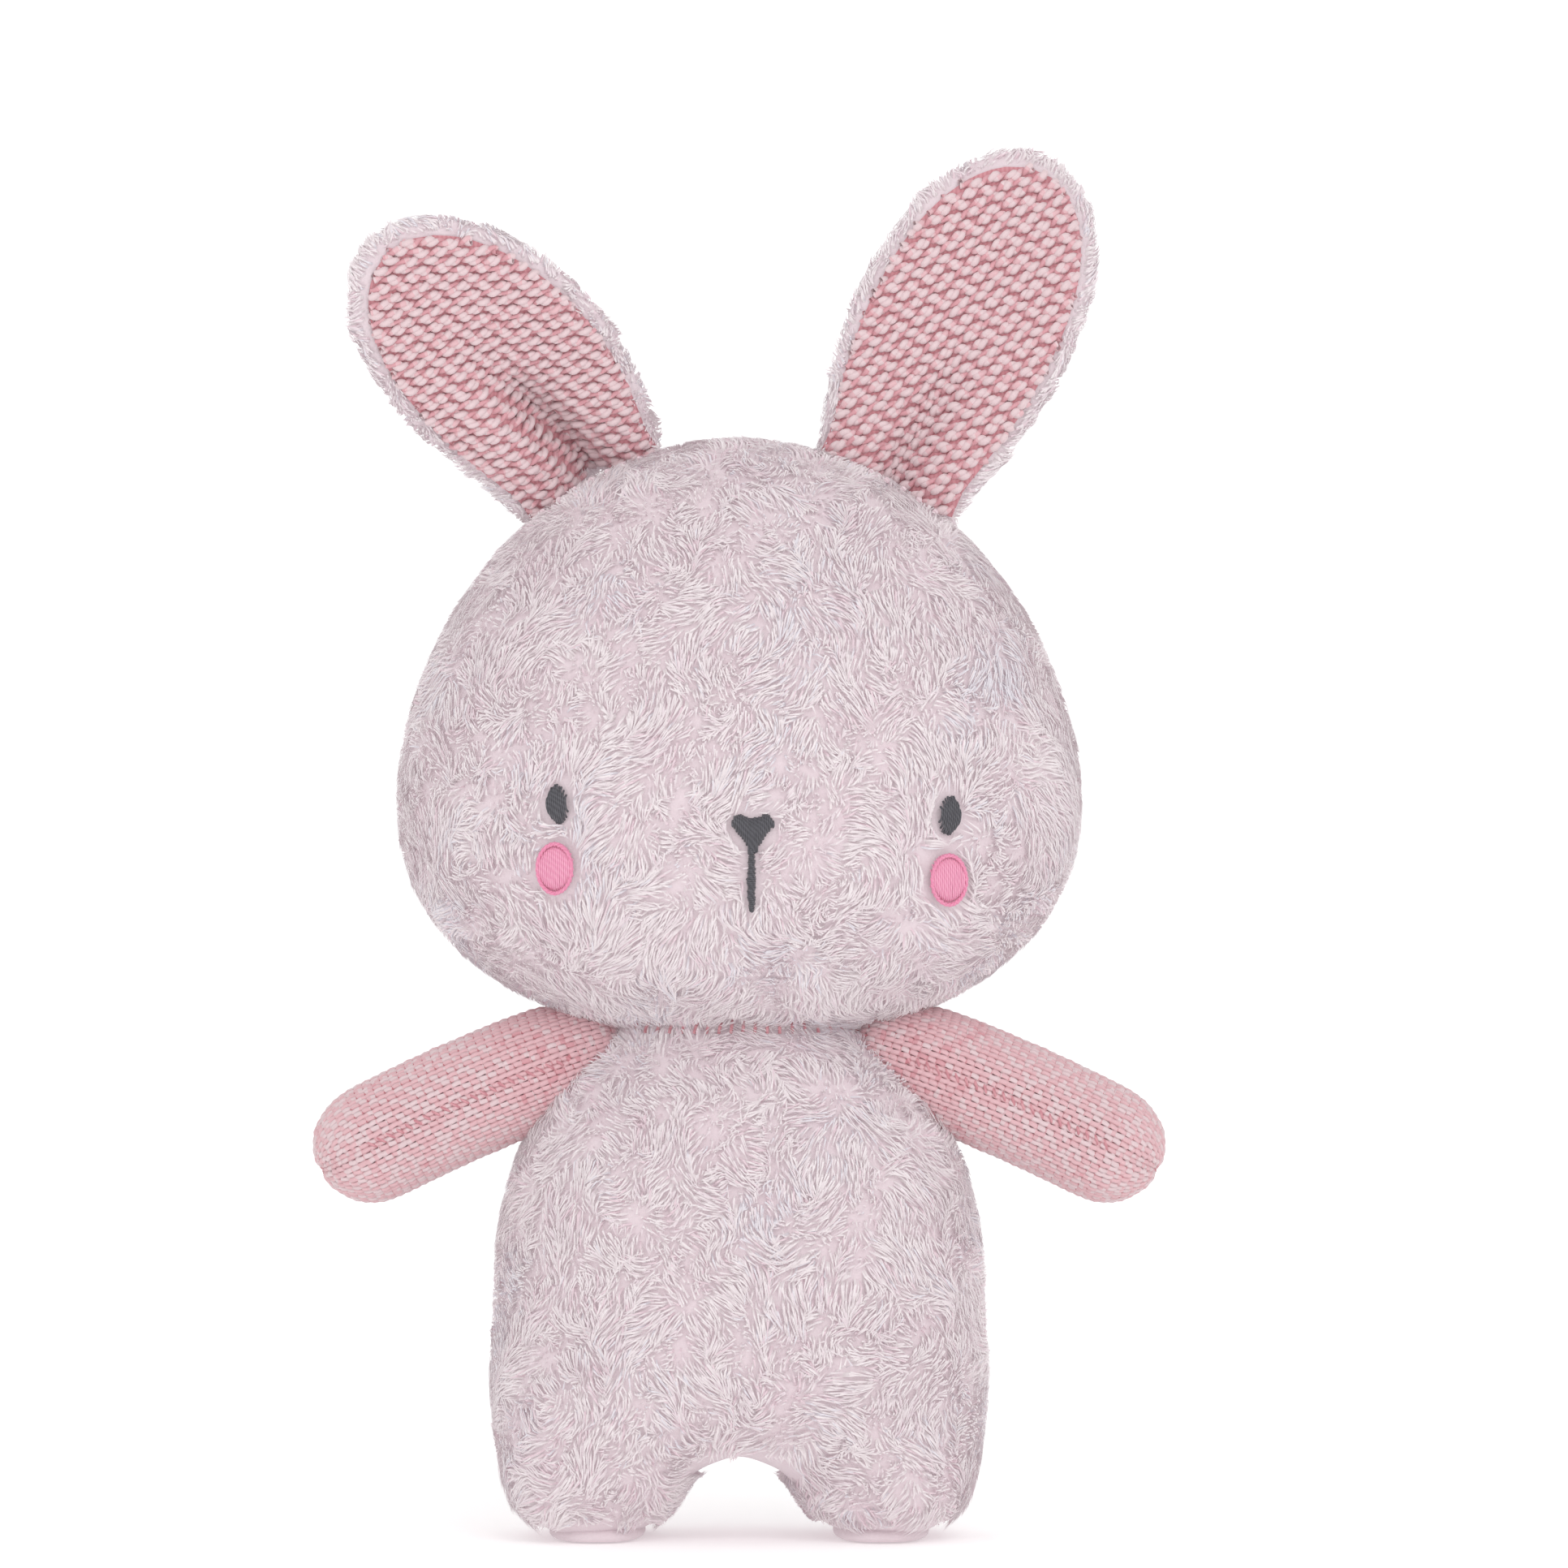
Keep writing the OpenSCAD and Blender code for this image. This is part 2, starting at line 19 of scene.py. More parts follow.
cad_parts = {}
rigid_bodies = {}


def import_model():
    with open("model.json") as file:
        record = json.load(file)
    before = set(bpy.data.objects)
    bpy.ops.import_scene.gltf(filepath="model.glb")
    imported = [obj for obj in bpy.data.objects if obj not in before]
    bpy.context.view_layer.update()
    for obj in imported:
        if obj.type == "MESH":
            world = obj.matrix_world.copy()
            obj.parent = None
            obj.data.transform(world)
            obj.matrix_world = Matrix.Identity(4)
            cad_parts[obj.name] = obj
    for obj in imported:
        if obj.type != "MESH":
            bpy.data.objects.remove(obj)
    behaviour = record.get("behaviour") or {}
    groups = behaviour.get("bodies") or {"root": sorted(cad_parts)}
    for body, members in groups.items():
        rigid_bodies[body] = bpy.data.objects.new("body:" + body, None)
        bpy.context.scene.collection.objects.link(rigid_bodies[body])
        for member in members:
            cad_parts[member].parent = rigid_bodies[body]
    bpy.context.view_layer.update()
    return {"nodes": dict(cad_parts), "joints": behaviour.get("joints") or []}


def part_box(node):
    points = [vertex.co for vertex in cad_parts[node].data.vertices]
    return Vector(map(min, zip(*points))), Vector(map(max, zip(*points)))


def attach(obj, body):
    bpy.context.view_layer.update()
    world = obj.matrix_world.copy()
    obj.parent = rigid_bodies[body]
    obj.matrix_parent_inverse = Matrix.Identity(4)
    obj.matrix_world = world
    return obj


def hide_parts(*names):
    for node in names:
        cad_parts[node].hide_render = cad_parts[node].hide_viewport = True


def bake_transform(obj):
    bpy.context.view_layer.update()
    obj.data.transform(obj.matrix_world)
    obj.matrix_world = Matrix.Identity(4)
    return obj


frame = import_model()
joints = {joint["name"]: joint for joint in frame["joints"]}

# %% [markdown]
# The camera looks straight at the toy's face with a long lens, as a catalogue picture does, so
# that the ears and feet keep their true proportions. It stands level with the chest and a little
# to the toy's left. A long lens far away could also be an orthographic camera, but that
# would lose the slight rounding that even a long lens gives.

# %% Camera
MM = 0.001
VIEW_WIDTH = 371 * MM
CAMERA_AWAY = 2.2
camera = bpy.data.objects.new("camera", bpy.data.cameras.new("camera"))
bpy.context.scene.collection.objects.link(camera)
camera.location = (10.6 * MM, -CAMERA_AWAY, 178 * MM)
camera.rotation_euler = (math.pi / 2, 0, 0)
camera.data.sensor_width = 36
camera.data.lens = camera.data.sensor_width * CAMERA_AWAY / VIEW_WIDTH
bpy.context.scene.camera = camera
print("camera lens", round(camera.data.lens), "mm")

# %% [markdown]
# A plain studio sweep: a pale floor that curves up into a wall, lit by a bright soft dome
# and two big soft panels. The dome alone would leave the pile flat, so the panel on the right is
# stronger and draws a little shade under each tuft.

# %% Helpers for colours, nodes and meshes
def colour(code):
    """A linear colour from an sRGB hex code."""
    shares = [int(code[i:i + 2], 16) / 255 for i in (1, 3, 5)]
    return [s / 12.92 if s <= 0.04045 else ((s + 0.055) / 1.055) ** 2.4 for s in shares] + [1]


def node(tree, kind, inputs=None, **settings):
    """Adds one shader node, sets it up, and fills or links its inputs."""
    made = tree.nodes.new(kind)
    for name, value in settings.items():
        setattr(made, name, value)
    for name, value in (inputs or {}).items():
        if isinstance(value, bpy.types.NodeSocket):
            tree.links.new(value, made.inputs[name])
        else:
            made.inputs[name].default_value = value
    return made


def material(name, **sockets):
    """A new material with one Principled shader, and that shader's tree and sockets."""
    made = bpy.data.materials.new(name)
    made.use_nodes = True
    shader = made.node_tree.nodes["Principled BSDF"]
    for socket, value in sockets.items():
        shader.inputs[socket.replace("_", " ").title()].default_value = value
    made.diffuse_color = shader.inputs["Base Color"].default_value
    return made


def new_piece(name, points, faces, materials, slots=None):
    """A mesh object from points in millimetres and one or more arrays of faces."""
    faces = faces if isinstance(faces, list) else [faces]
    faces = [np.asarray(group) for group in faces if len(group)]
    corners = np.concatenate([group.ravel() for group in faces]).astype(np.int32)
    sizes = np.concatenate([np.full(len(group), group.shape[1]) for group in faces])
    starts = np.concatenate([[0], np.cumsum(sizes)[:-1]]).astype(np.int32)
    mesh = bpy.data.meshes.new(name)
    mesh.vertices.add(len(points))
    mesh.vertices.foreach_set("co", (np.asarray(points) * MM).astype(np.float32).ravel())
    mesh.loops.add(len(corners))
    mesh.loops.foreach_set("vertex_index", corners)
    mesh.polygons.add(len(sizes))
    mesh.polygons.foreach_set("loop_start", starts)
    mesh.polygons.foreach_set("use_smooth", np.ones(len(sizes), bool))
    for each in materials:
        mesh.materials.append(each)
    if slots is not None:
        mesh.polygons.foreach_set("material_index", np.asarray(slots, np.int32))
    mesh.update(calc_edges=True)
    piece = bpy.data.objects.new(name, mesh)
    bpy.context.scene.collection.objects.link(piece)
    return piece


def shade_faces(piece, smooth):
    """Makes every face of a piece smooth or flat in its shading."""
    piece.data.polygons.foreach_set("use_smooth", np.full(len(piece.data.polygons), smooth))


def belongs(piece, body=None, stands_for=()):
    """Hides the frame nodes a piece stands for and hangs the piece on the body it rides."""
    if stands_for:
        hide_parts(*stands_for)
    if body:
        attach(piece, body)


def full_turn(count):
    """Evenly spaced angles, once round."""
    return np.linspace(0, 2 * math.pi, count, endpoint=False)


def grid_faces(rows, columns, closed):
    """Quads between neighbouring rows of points, joined round into a tube if closed."""
    row = np.arange(rows - 1)[:, None] * columns
    here = np.arange(columns if closed else columns - 1)[None, :]
    beside = (here + 1) % columns
    quads = [row + here, row + beside, row + beside + columns, row + here + columns]
    return np.stack(quads, -1).reshape(-1, 4)


# %% Stage and lights
SWEEP_DEPTH, SWEEP_HEIGHT, SWEEP_BEND = 3000, 3500, 900
turn = np.linspace(0, math.pi / 2, 24)
wall_line = np.concatenate([
    [[-SWEEP_DEPTH * 2, 0]],
    np.stack([SWEEP_DEPTH - SWEEP_BEND + SWEEP_BEND * np.sin(turn),
              SWEEP_BEND - SWEEP_BEND * np.cos(turn)], -1),
    [[SWEEP_DEPTH, SWEEP_HEIGHT]],
])
sweep_points = [[x, y, z] for y, z in wall_line for x in (-4000, 4000)]
paper = material("seamless_white_paper", base_color=colour("#FBFAFA"), roughness=0.9)
# A sweep like this is usually lit from below as well, which washes the contact shadow out
paper.node_tree.nodes["Principled BSDF"].inputs["Emission Color"].default_value = (1, 1, 1, 1)
paper.node_tree.nodes["Principled BSDF"].inputs["Emission Strength"].default_value = 0.2
sweep = new_piece("studio_sweep", np.array(sweep_points),
                  grid_faces(len(wall_line), 2, False), [paper])

world = bpy.data.worlds.new("soft_dome")
bpy.context.scene.world = world
world.use_nodes = True
world.node_tree.nodes["Background"].inputs["Color"].default_value = (1, 1, 1, 1)
world.node_tree.nodes["Background"].inputs["Strength"].default_value = 0.8


def soft_panel(name, place, aim, width, watts):
    """A large area light at a place, facing an aim point."""
    panel = bpy.data.objects.new(name, bpy.data.lights.new(name, "AREA"))
    bpy.context.scene.collection.objects.link(panel)
    panel.location = place
    panel.rotation_euler = (Vector(aim) - Vector(place)).to_track_quat("-Z", "Y").to_euler()
    panel.data.size = width
    panel.data.energy = watts
    return panel


chest = (0, 0, 0.16)
soft_panel("left_panel", (-1.1, -2.0, 0.9), chest, 1.4, 6)
soft_panel("right_panel", (0.7, -2.0, 1.2), chest, 1.4, 14)
bpy.context.scene.view_settings.view_transform = "Standard"
print("studio: dome, 2 panels, sweep")

# %% [markdown]
# Each stuffed piece starts as a closed solid a few millimetres smaller than the finished one.
# Real stuffing presses the cover outward until the cloth pulls tight, and a cloth
# simulation with air pressure does the same. The solid is remeshed to even squares first, because
# cloth needs them, and a cap on the movement stops the pressure from blowing it up like a balloon.
# A subdivision then rounds what the squares left.

# %% Lofts and the swelling
def loft(rings):
    """A closed solid through closed rings of points, fanned shut at both ends."""
    rings = np.asarray(list(rings), float)
    count, around = rings.shape[:2]
    points = np.concatenate([rings.reshape(-1, 3), [rings[0].mean(0)], [rings[-1].mean(0)]])
    here = np.arange(around)
    beside = (here + 1) % around
    last = (count - 1) * around
    first_fan = np.stack([beside, here, np.full(around, count * around)], -1)
    last_fan = np.stack([last + here, last + beside, np.full(around, count * around + 1)], -1)
    return points, [grid_faces(count, around, True), first_fan, last_fan]


def joined(solids):
    """Several lofts as one list of points and faces."""
    points, faces, offset = [], [], 0
    for solid_points, solid_faces in solids:
        points.append(solid_points)
        faces += [group + offset for group in solid_faces]
        offset += len(solid_points)
    return np.concatenate(points), faces


def per_point(values, field, count):
    """One vector for each of a mesh's points, read in one go."""
    flat = np.empty(count * 3, np.float32)
    values.foreach_get(field, flat)
    return flat.reshape(-1, 3).astype(float)


def coordinates(mesh):
    """All points of a mesh, in millimetres."""
    return per_point(mesh.vertices, "co", len(mesh.vertices)) / MM


def vertex_normals(mesh):
    return per_point(mesh.vertex_normals, "vector", len(mesh.vertices))


def settle(piece):
    """Applies every modifier on a piece to its mesh."""
    graph = bpy.context.evaluated_depsgraph_get()
    finished = bpy.data.meshes.new_from_object(piece.evaluated_get(graph))
    piece.modifiers.clear()
    piece.data = finished
    return piece


def subdivide(piece, levels):
    """Rounds a piece by subdivision and shades it smooth."""
    rounded = piece.modifiers.new("rounded", "SUBSURF")
    rounded.levels = rounded.render_levels = levels
    settle(piece)
    shade_faces(piece, True)


SWELL_FRAMES = 20
SWELL_PRESSURE = 20000
SWELL_SHARE = 0.6


def swell(piece, square, cap):
    """Remeshes a closed solid, blows its cloth up by at most cap, and rounds the result."""
    remesh = piece.modifiers.new("even squares", "REMESH")
    remesh.mode = "VOXEL"
    remesh.voxel_size = square * MM
    settle(piece)
    start = coordinates(piece.data)
    move = vertex_normals(piece.data) * cap * SWELL_SHARE
    cloth = piece.modifiers.new("stuffing", "CLOTH")
    cloth.settings.use_pressure = True
    cloth.settings.uniform_pressure_force = SWELL_PRESSURE
    cloth.settings.effector_weights.gravity = 0
    cloth.collision_settings.use_collision = False
    cloth.point_cache.frame_end = SWELL_FRAMES
    for step in range(1, SWELL_FRAMES + 1):
        bpy.context.scene.frame_set(step)
    graph = bpy.context.evaluated_depsgraph_get()
    blown = coordinates(piece.evaluated_get(graph).data)
    piece.modifiers.clear()
    bpy.context.scene.frame_set(1)
    move = blown - start
    reach = np.linalg.norm(move, axis=1, keepdims=True)
    move *= np.minimum(1, cap / np.maximum(reach, 1e-6))
    piece.data.vertices.foreach_set("co", ((start + move) * MM).astype(np.float32).ravel())
    smooth = piece.modifiers.new("evened cloth", "SMOOTH")
    smooth.factor, smooth.iterations = 0.5, 3
    subdivide(piece, 1)
    piece.data.update()
    print(piece.name, "swelled, mean move", round(float(np.linalg.norm(move, axis=1).mean()), 2),
          "mm,", len(piece.data.vertices), "points")
    return piece


def dress(piece, finish):
    """Gives a piece one finish on every face."""
    piece.data.materials.clear()
    piece.data.materials.append(finish)
    piece.data.polygons.foreach_set("material_index", np.zeros(len(piece.data.polygons), np.int32))
    return piece


def stuffed(name, solid, finish, square, cap):
    """A swelled piece from the points and faces of a closed solid, in one finish."""
    points, faces = solid
    return dress(swell(new_piece(name, points, faces, [finish]), square, cap), finish)


def cut(piece, name, place, away):
    """A copy of a piece without the part beyond a plane; away points to the part that goes."""
    half = bmesh.new()
    half.from_mesh(piece.data)
    everything = half.verts[:] + half.edges[:] + half.faces[:]
    bmesh.ops.bisect_plane(half, geom=everything, plane_co=Vector(place) * MM,
                           plane_no=Vector(away), clear_outer=True)
    mesh = piece.data.copy()
    half.to_mesh(mesh)
    half.free()
    kept = bpy.data.objects.new(name, mesh)
    bpy.context.scene.collection.objects.link(kept)
    return kept


def box_mm(name):
    """A frame node's lowest and highest corners, in millimetres."""
    low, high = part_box(name)
    return np.array(low) / MM, np.array(high) / MM


# %% [markdown]
# The plush is a knitted polyester backing with a brushed pile about 5 mm deep. Under
# the pile the backing is a slightly deeper pink than the strands, which paints a little shade
# into the gaps between them, and it is mottled in patches. The pile itself is dyed polyester
# fibre: dry, matt, with a faint sheen
# at its edges. A stuffed toy's pile looks like a mix of tints, so the strands are dyed in six
# pale tints, and each strand takes one, as real mixed fibre does. That is real variation in the
# geometry, which keeps its colour in any other program.

# %% Plush materials
# Pale fibres pass light on to each other, so shade between them is never deep: a small
# constant glow stands for that, because tracing it through every fibre would take hours
FIBRE_GLOW = 0.18
backing = material("polyester_plush_backing", roughness=0.95, sheen_weight=0.3)
tree = backing.node_tree
place = node(tree, "ShaderNodeTexCoord").outputs["Object"]
# Mottling in patches of about 9 mm, and loops of the knitted backing about 0.8 mm apart
patches = node(tree, "ShaderNodeTexNoise", {"Vector": place, "Scale": 1 / (9 * MM), "Detail": 3})
loops = node(tree, "ShaderNodeTexVoronoi", {"Vector": place, "Scale": 1 / (0.8 * MM)})
# The backing's tints are a little deeper than the pile's: painted shade in the gaps between strands
tint = node(tree, "ShaderNodeMix", {0: patches.outputs["Fac"], 6: colour("#C9B8BE"),
                                    7: colour("#D1C5C9")}, data_type="RGBA")
relief = node(tree, "ShaderNodeBump", {"Height": loops.outputs["Distance"], "Strength": 0.4,
                                       "Distance": 0.3 * MM})
shader = tree.nodes["Principled BSDF"]
tree.links.new(tint.outputs[2], shader.inputs["Base Color"])
tree.links.new(relief.outputs["Normal"], shader.inputs["Normal"])
# The backing glows by the same small amount: painted light that lifts the shade under the pile
shader.inputs["Emission Color"].default_value = colour("#CDBFC4")
shader.inputs["Emission Strength"].default_value = FIBRE_GLOW

PILE_TINTS = {"ivory": "#D7CFD1", "pearl": "#D4CBCD", "blush": "#D1C7CA",
              "petal": "#D0C3C8", "rose": "#CEBAC1", "lilac": "#CDC8CE"}
pile = [material(f"polyester_pile_{name}", base_color=colour(code), roughness=0.8,
                 sheen_weight=0.4, sheen_roughness=0.5, emission_color=colour(code),
                 emission_strength=FIBRE_GLOW)
        for name, code in PILE_TINTS.items()]
print("plush: backing and", len(pile), "pile tints")


# %% [markdown]
# The pile is grown strand by strand. Blender's hair would do it faster, but hair is drawn
# only while rendering, and these strands should be real mesh that travels with the toy. Each
# strand is a bent, three-sided fibre that narrows to a point. Brushed plush gathers in swirling
# tufts 5 to 8 mm wide, so strands lean along a slowly turning direction, and each tip is drawn
# towards the tip of the nearest tuft.

# %% Strand grower
def smooth_noise(points, wavelength, seed, count=14):
    """A smooth random value at each point, mostly from -1 to 1, that turns over a wavelength."""
    random = np.random.default_rng(seed)
    waves = random.normal(size=(count, 3))
    waves /= np.linalg.norm(waves, axis=1, keepdims=True)
    waves *= 2 * math.pi / (wavelength * random.uniform(0.7, 1.5, (count, 1)))
    return np.sin(points @ waves.T + random.uniform(0, 2 * math.pi, count)).mean(1) * 2.2


def unit(vectors):
    return vectors / np.maximum(np.linalg.norm(vectors, axis=-1, keepdims=True), 1e-9)


def scatter(piece, density, seed):
    """Random places on a piece's surface, with their normals, at a density per square mm."""
    random = np.random.default_rng(seed)
    mesh = piece.data
    mesh.calc_loop_triangles()
    corners = np.empty(len(mesh.loop_triangles) * 3, np.int32)
    mesh.loop_triangles.foreach_get("vertices", corners)
    corners = corners.reshape(-1, 3)
    points, normals = coordinates(mesh), vertex_normals(mesh)
    a, b, c = (points[corners[:, i]] for i in range(3))
    areas = np.linalg.norm(np.cross(b - a, c - a), axis=1) / 2
    count = int(areas.sum() * density)
    chosen = random.choice(len(areas), count, p=areas / areas.sum())
    u, v = random.random((2, count, 1))
    over = (u + v) > 1
    u, v = np.where(over, 1 - u, u), np.where(over, 1 - v, v)
    shares = [1 - u - v, u, v]
    spots = sum(points[corners[chosen, i]] * shares[i] for i in range(3))
    facing = unit(sum(normals[corners[chosen, i]] * shares[i] for i in range(3)))
    return spots, facing


# Strands per square millimetre, their width, how steeply they stand, and the tufts' spacing.
# A real fibre is about 0.03 mm wide; these stand for little locks, as coarse as must show
PILE_DENSITY = 1.25
PILE_WIDTH = 0.6
PILE_LIFT = 0.3
TUFT_SPACING = 5.5
FIBRE_SIDES = 3
# How far a strand's tip lies along the surface, and how flat its section is
PILE_LEAN, FIBRE_FLAT = 0.85, 0.2


def combed(points, normals, seed, droop):
    """The direction along the surface in which the pile lies at each point."""
    swirl = np.stack([smooth_noise(points, 26, seed + i) for i in range(3)], -1)
    fine = np.stack([smooth_noise(points, 9, seed + 7 + i) for i in range(3)], -1)
    lean = swirl + 0.8 * fine + np.array(droop)
    lean = lean - (lean * normals).sum(1, keepdims=True) * normals
    return lean / np.maximum(np.linalg.norm(lean, axis=1, keepdims=True), 0.7)


def grow_pile(name, piece, length, seed, keep, density=PILE_DENSITY, droop=(0, 0, -0.5),
              tips_allowed=None):
    """A mesh of strands on a piece; keep says which roots grow, tips_allowed which strands stay."""
    roots, normals = scatter(piece, density, seed)
    grows = keep(roots, normals)
    roots, normals = roots[grows], normals[grows]
    random = np.random.default_rng(seed + 1)
    count = len(roots)
    lean = combed(roots, normals, seed=11, droop=droop)
    long = length * random.uniform(0.7, 1.2, (count, 1))
    tips = roots + long * (PILE_LIFT * normals + PILE_LEAN * lean)

    tufts = random.choice(count, max(1, int(count / (density * TUFT_SPACING ** 2))), replace=False)
    tree = KDTree(len(tufts))
    for i, index in enumerate(tufts):
        tree.insert(roots[index], i)
    tree.balance()
    nearest = tufts[[tree.find(root)[1] for root in roots]]
    pull = random.uniform(0.1, 0.45, (count, 1))
    tips = tips * (1 - pull) + (tips[nearest] + random.normal(0, 0.5, (count, 3))) * pull
    middle = roots + long * (0.85 * PILE_LIFT * normals + 0.3 * lean)
    if tips_allowed is not None:
        free = tips_allowed(roots, normals) & tips_allowed(tips, normals) \
            & tips_allowed(middle, normals)
        roots, normals, middle, tips = roots[free], normals[free], middle[free], tips[free]
        count = len(roots)

    across = unit(np.cross(tips - roots, normals))
    rings = []
    for centre, share in ((roots - 0.3 * normals, 1), (middle, 0.85)):
        for side in range(FIBRE_SIDES):
            turn = 2 * math.pi * side / FIBRE_SIDES - math.pi / 2
            rings.append(centre + share * PILE_WIDTH / 2
                         * (math.cos(turn) * across + FIBRE_FLAT * math.sin(turn) * normals))
    points = np.stack(rings + [tips], 1)
    ribs = 2 * FIBRE_SIDES + 1
    base = np.arange(count)[:, None] * ribs
    quads, ends = [], []
    for side in range(FIBRE_SIDES):
        beside = (side + 1) % FIBRE_SIDES
        quads.append(base + [beside, side, side + FIBRE_SIDES, beside + FIBRE_SIDES])
        ends.append(base + [beside + FIBRE_SIDES, side + FIBRE_SIDES, ribs - 1])

    shade = smooth_noise(roots, 16, 31) + 0.8 * smooth_noise(roots, 6, 37)
    shade = shade * 0.5 + random.normal(0, 0.75, count)
    tint = np.digitize(shade, [-0.9, -0.1, 0.6, 1.15, 1.7])
    grey = smooth_noise(roots, 30, 41) + random.normal(0, 0.6, count) > 1.1
    tint = np.where(grey, 5, np.minimum(tint, 4))
    fur = new_piece(name, points.reshape(-1, 3), [np.concatenate(quads), np.concatenate(ends)],
                    pile, np.tile(tint, 2 * FIBRE_SIDES))
    # Fibres this fine are flat-shaded: rounded shading would only draw a dark line round each
    shade_faces(fur, False)
    print(name, count, "strands,", count * 3 * FIBRE_SIDES, "triangles")
    return fur


# %% [markdown]
# The head is the toy's biggest stuffed piece: two plush panels sewn round their edge and filled
# hard, wider than it is tall and flatter from front to back. Its outline is nearly an ellipse
# above the eyes and squarer in the cheeks. It is lofted as rings, and then swelled.

# %% Head cover
PILE_STANDS = 2.6
SWELL_CAP = 2.2
INSET = PILE_STANDS + SWELL_CAP * SWELL_SHARE


def squarish(turn, power):
    """Cosine and sine bent outward from an ellipse, the more so the higher the power."""
    c, s = np.cos(turn), np.sin(turn)
    return np.sign(c) * np.abs(c) ** (2 / power), np.sign(s) * np.abs(s) ** (2 / power)


neck = np.array(joints["head_nod"]["pos_m"]) / MM
head_low, head_high = box_mm("head_front")
head_half = head_high[0]
head_deep = -head_low[1]
HEAD_WIDEST = 0.375
# How square the head is: 2 is an ellipse. In the cheeks, over the crown, and from above
CHEEK_POWER, CROWN_POWER, ROUND_POWER = 2.35, 2.05, 2.1
head_widest = neck[2] + (head_high[2] - neck[2]) * HEAD_WIDEST


def head_rings():
    """Level rings of the head, from the neck to the crown."""
    turn = full_turn(64)
    for climb in np.radians(np.linspace(-86, 86, 40)):
        wide, up = squarish(climb, CHEEK_POWER if climb < 0 else CROWN_POWER)
        tall = (head_high[2] - head_widest if climb > 0 else head_widest - neck[2]) - INSET
        x, y = squarish(turn, ROUND_POWER)
        yield np.stack([x * wide * (head_half - INSET), y * wide * (head_deep - INSET),
                        np.full(64, head_widest + up * tall)], -1)


head_cover = stuffed("head_cover", loft(head_rings()), backing, 4, SWELL_CAP)
belongs(head_cover, "head", ("head_front", "head_back", "head_stuffing"))

# %% [markdown]
# The body and legs are cut in one, so they are modelled as one solid: a pear of rings for the
# torso and a column of rings for each leg, whose inner sides meet above the crotch. The remesh
# melts the three into one skin, and after the swelling a slanting cut at each hip fold makes
# a leg cover of its own. A plain horizontal cut would tear between the legs.

# %% Body cover
torso_low, torso_high = box_mm("body_front")
leg_low, leg_high = box_mm("left_leg_front")
sole_low, sole_high = box_mm("left_sole")
hip = np.array(joints["left_leg_flex"]["pos_m"]) / MM
torso_half = torso_high[0]
torso_deep = -torso_low[1]
# The torso's dome ends inside the head, so that no gap opens at the neck
CHEST_INTO_HEAD = 12
chest_top = neck[2] + CHEST_INTO_HEAD
TORSO_POWER, LEG_POWER = 2.2, 2.5
# Below the hips the torso draws in by these shares of its width and depth, 40 mm down
DRAW_WIDE, DRAW_DEEP, DRAW_OVER = 0.035, 0.1, 40
# Half the gap between the feet, how fast it narrows upward, and where the crotch closes it
FEET_APART, GAP_SLOPE, CROTCH, CROTCH_ROUND, CROTCH_CLOSE = 16.5, 0.45, 18, 6, 14
# How far the thigh stands out past the foot, and how far the foot's lower edge is rounded in
THIGH_OUT, FOOT_ROUND = 7, 7


def torso_rings():
    """Level rings of the torso: nearly a column below the hips, a dome above them."""
    x, y = squarish(full_turn(64), TORSO_POWER)
    levels = []
    for z in np.linspace(leg_high[2] - 16, hip[2] - 3, 8):
        down = ((hip[2] - z) / DRAW_OVER) ** 2
        levels.append((z, 1 - DRAW_WIDE * down, 1 - DRAW_DEEP * down))
    for climb in np.radians(np.linspace(0, 86, 26)):
        wide, up = squarish(climb, TORSO_POWER)
        levels.append((hip[2] + up * (chest_top - hip[2] - INSET), wide, wide))
    for z, wide, deep in levels:
        yield np.stack([x * wide * (torso_half - INSET), y * deep * (torso_deep - INSET),
                        np.full(64, z)], -1)


def leg_rings(hand):
    """Level rings of one leg, from the foot up into the torso; hand is 1 left and -1 right."""
    x, y = squarish(full_turn(48), LEG_POWER)
    for share in np.linspace(0, 1, 20):
        z = INSET * 0.55 + share * (leg_high[2] + 4)
        out = leg_high[0] - THIGH_OUT * (1 - share) ** 3
        closed = min(1, max(0, (z - CROTCH) / CROTCH_ROUND))
        inside = FEET_APART - GAP_SLOPE * z - CROTCH_CLOSE * closed
        pulled = FOOT_ROUND * (1 - min(1, share / 0.16)) ** 2
        wide = (out - inside) / 2 - INSET - pulled + (1 - share) * 1.2
        deep = (sole_high[1] + 4.5 + 6 * share) - INSET * 0.7 - pulled
        centre = (out + inside) / 2
        yield np.stack([hand * (centre + x * wide)[::hand], (y * deep)[::hand],
                        np.full(48, z)], -1)


body_solids = joined([loft(torso_rings()), loft(leg_rings(1)), loft(leg_rings(-1))])
whole_body = stuffed("whole_body", body_solids, backing, 3, SWELL_CAP)

# %% Cut the body into torso and legs
# The hip fold's inner end by the crotch, how much it slants outward, and how long the fold line is
FOLD_INNER = np.array([4, 0, 36])
FOLD_SLANT = 0.6
FOLD_REACH = 48


def fold_plane(hand):
    """Where a hip fold starts and ends, and the way that points down the leg."""
    down = unit(np.array([hand * FOLD_SLANT, 0, -1]))
    start = FOLD_INNER * [hand, 1, 1]
    return start, start + down * FOLD_REACH / math.hypot(FOLD_SLANT, 1), down


def blend_leg(piece, side, hand):
    """Bakes a piece's placement into its mesh."""
    start, end, _ = fold_plane(hand)
    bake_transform(piece)


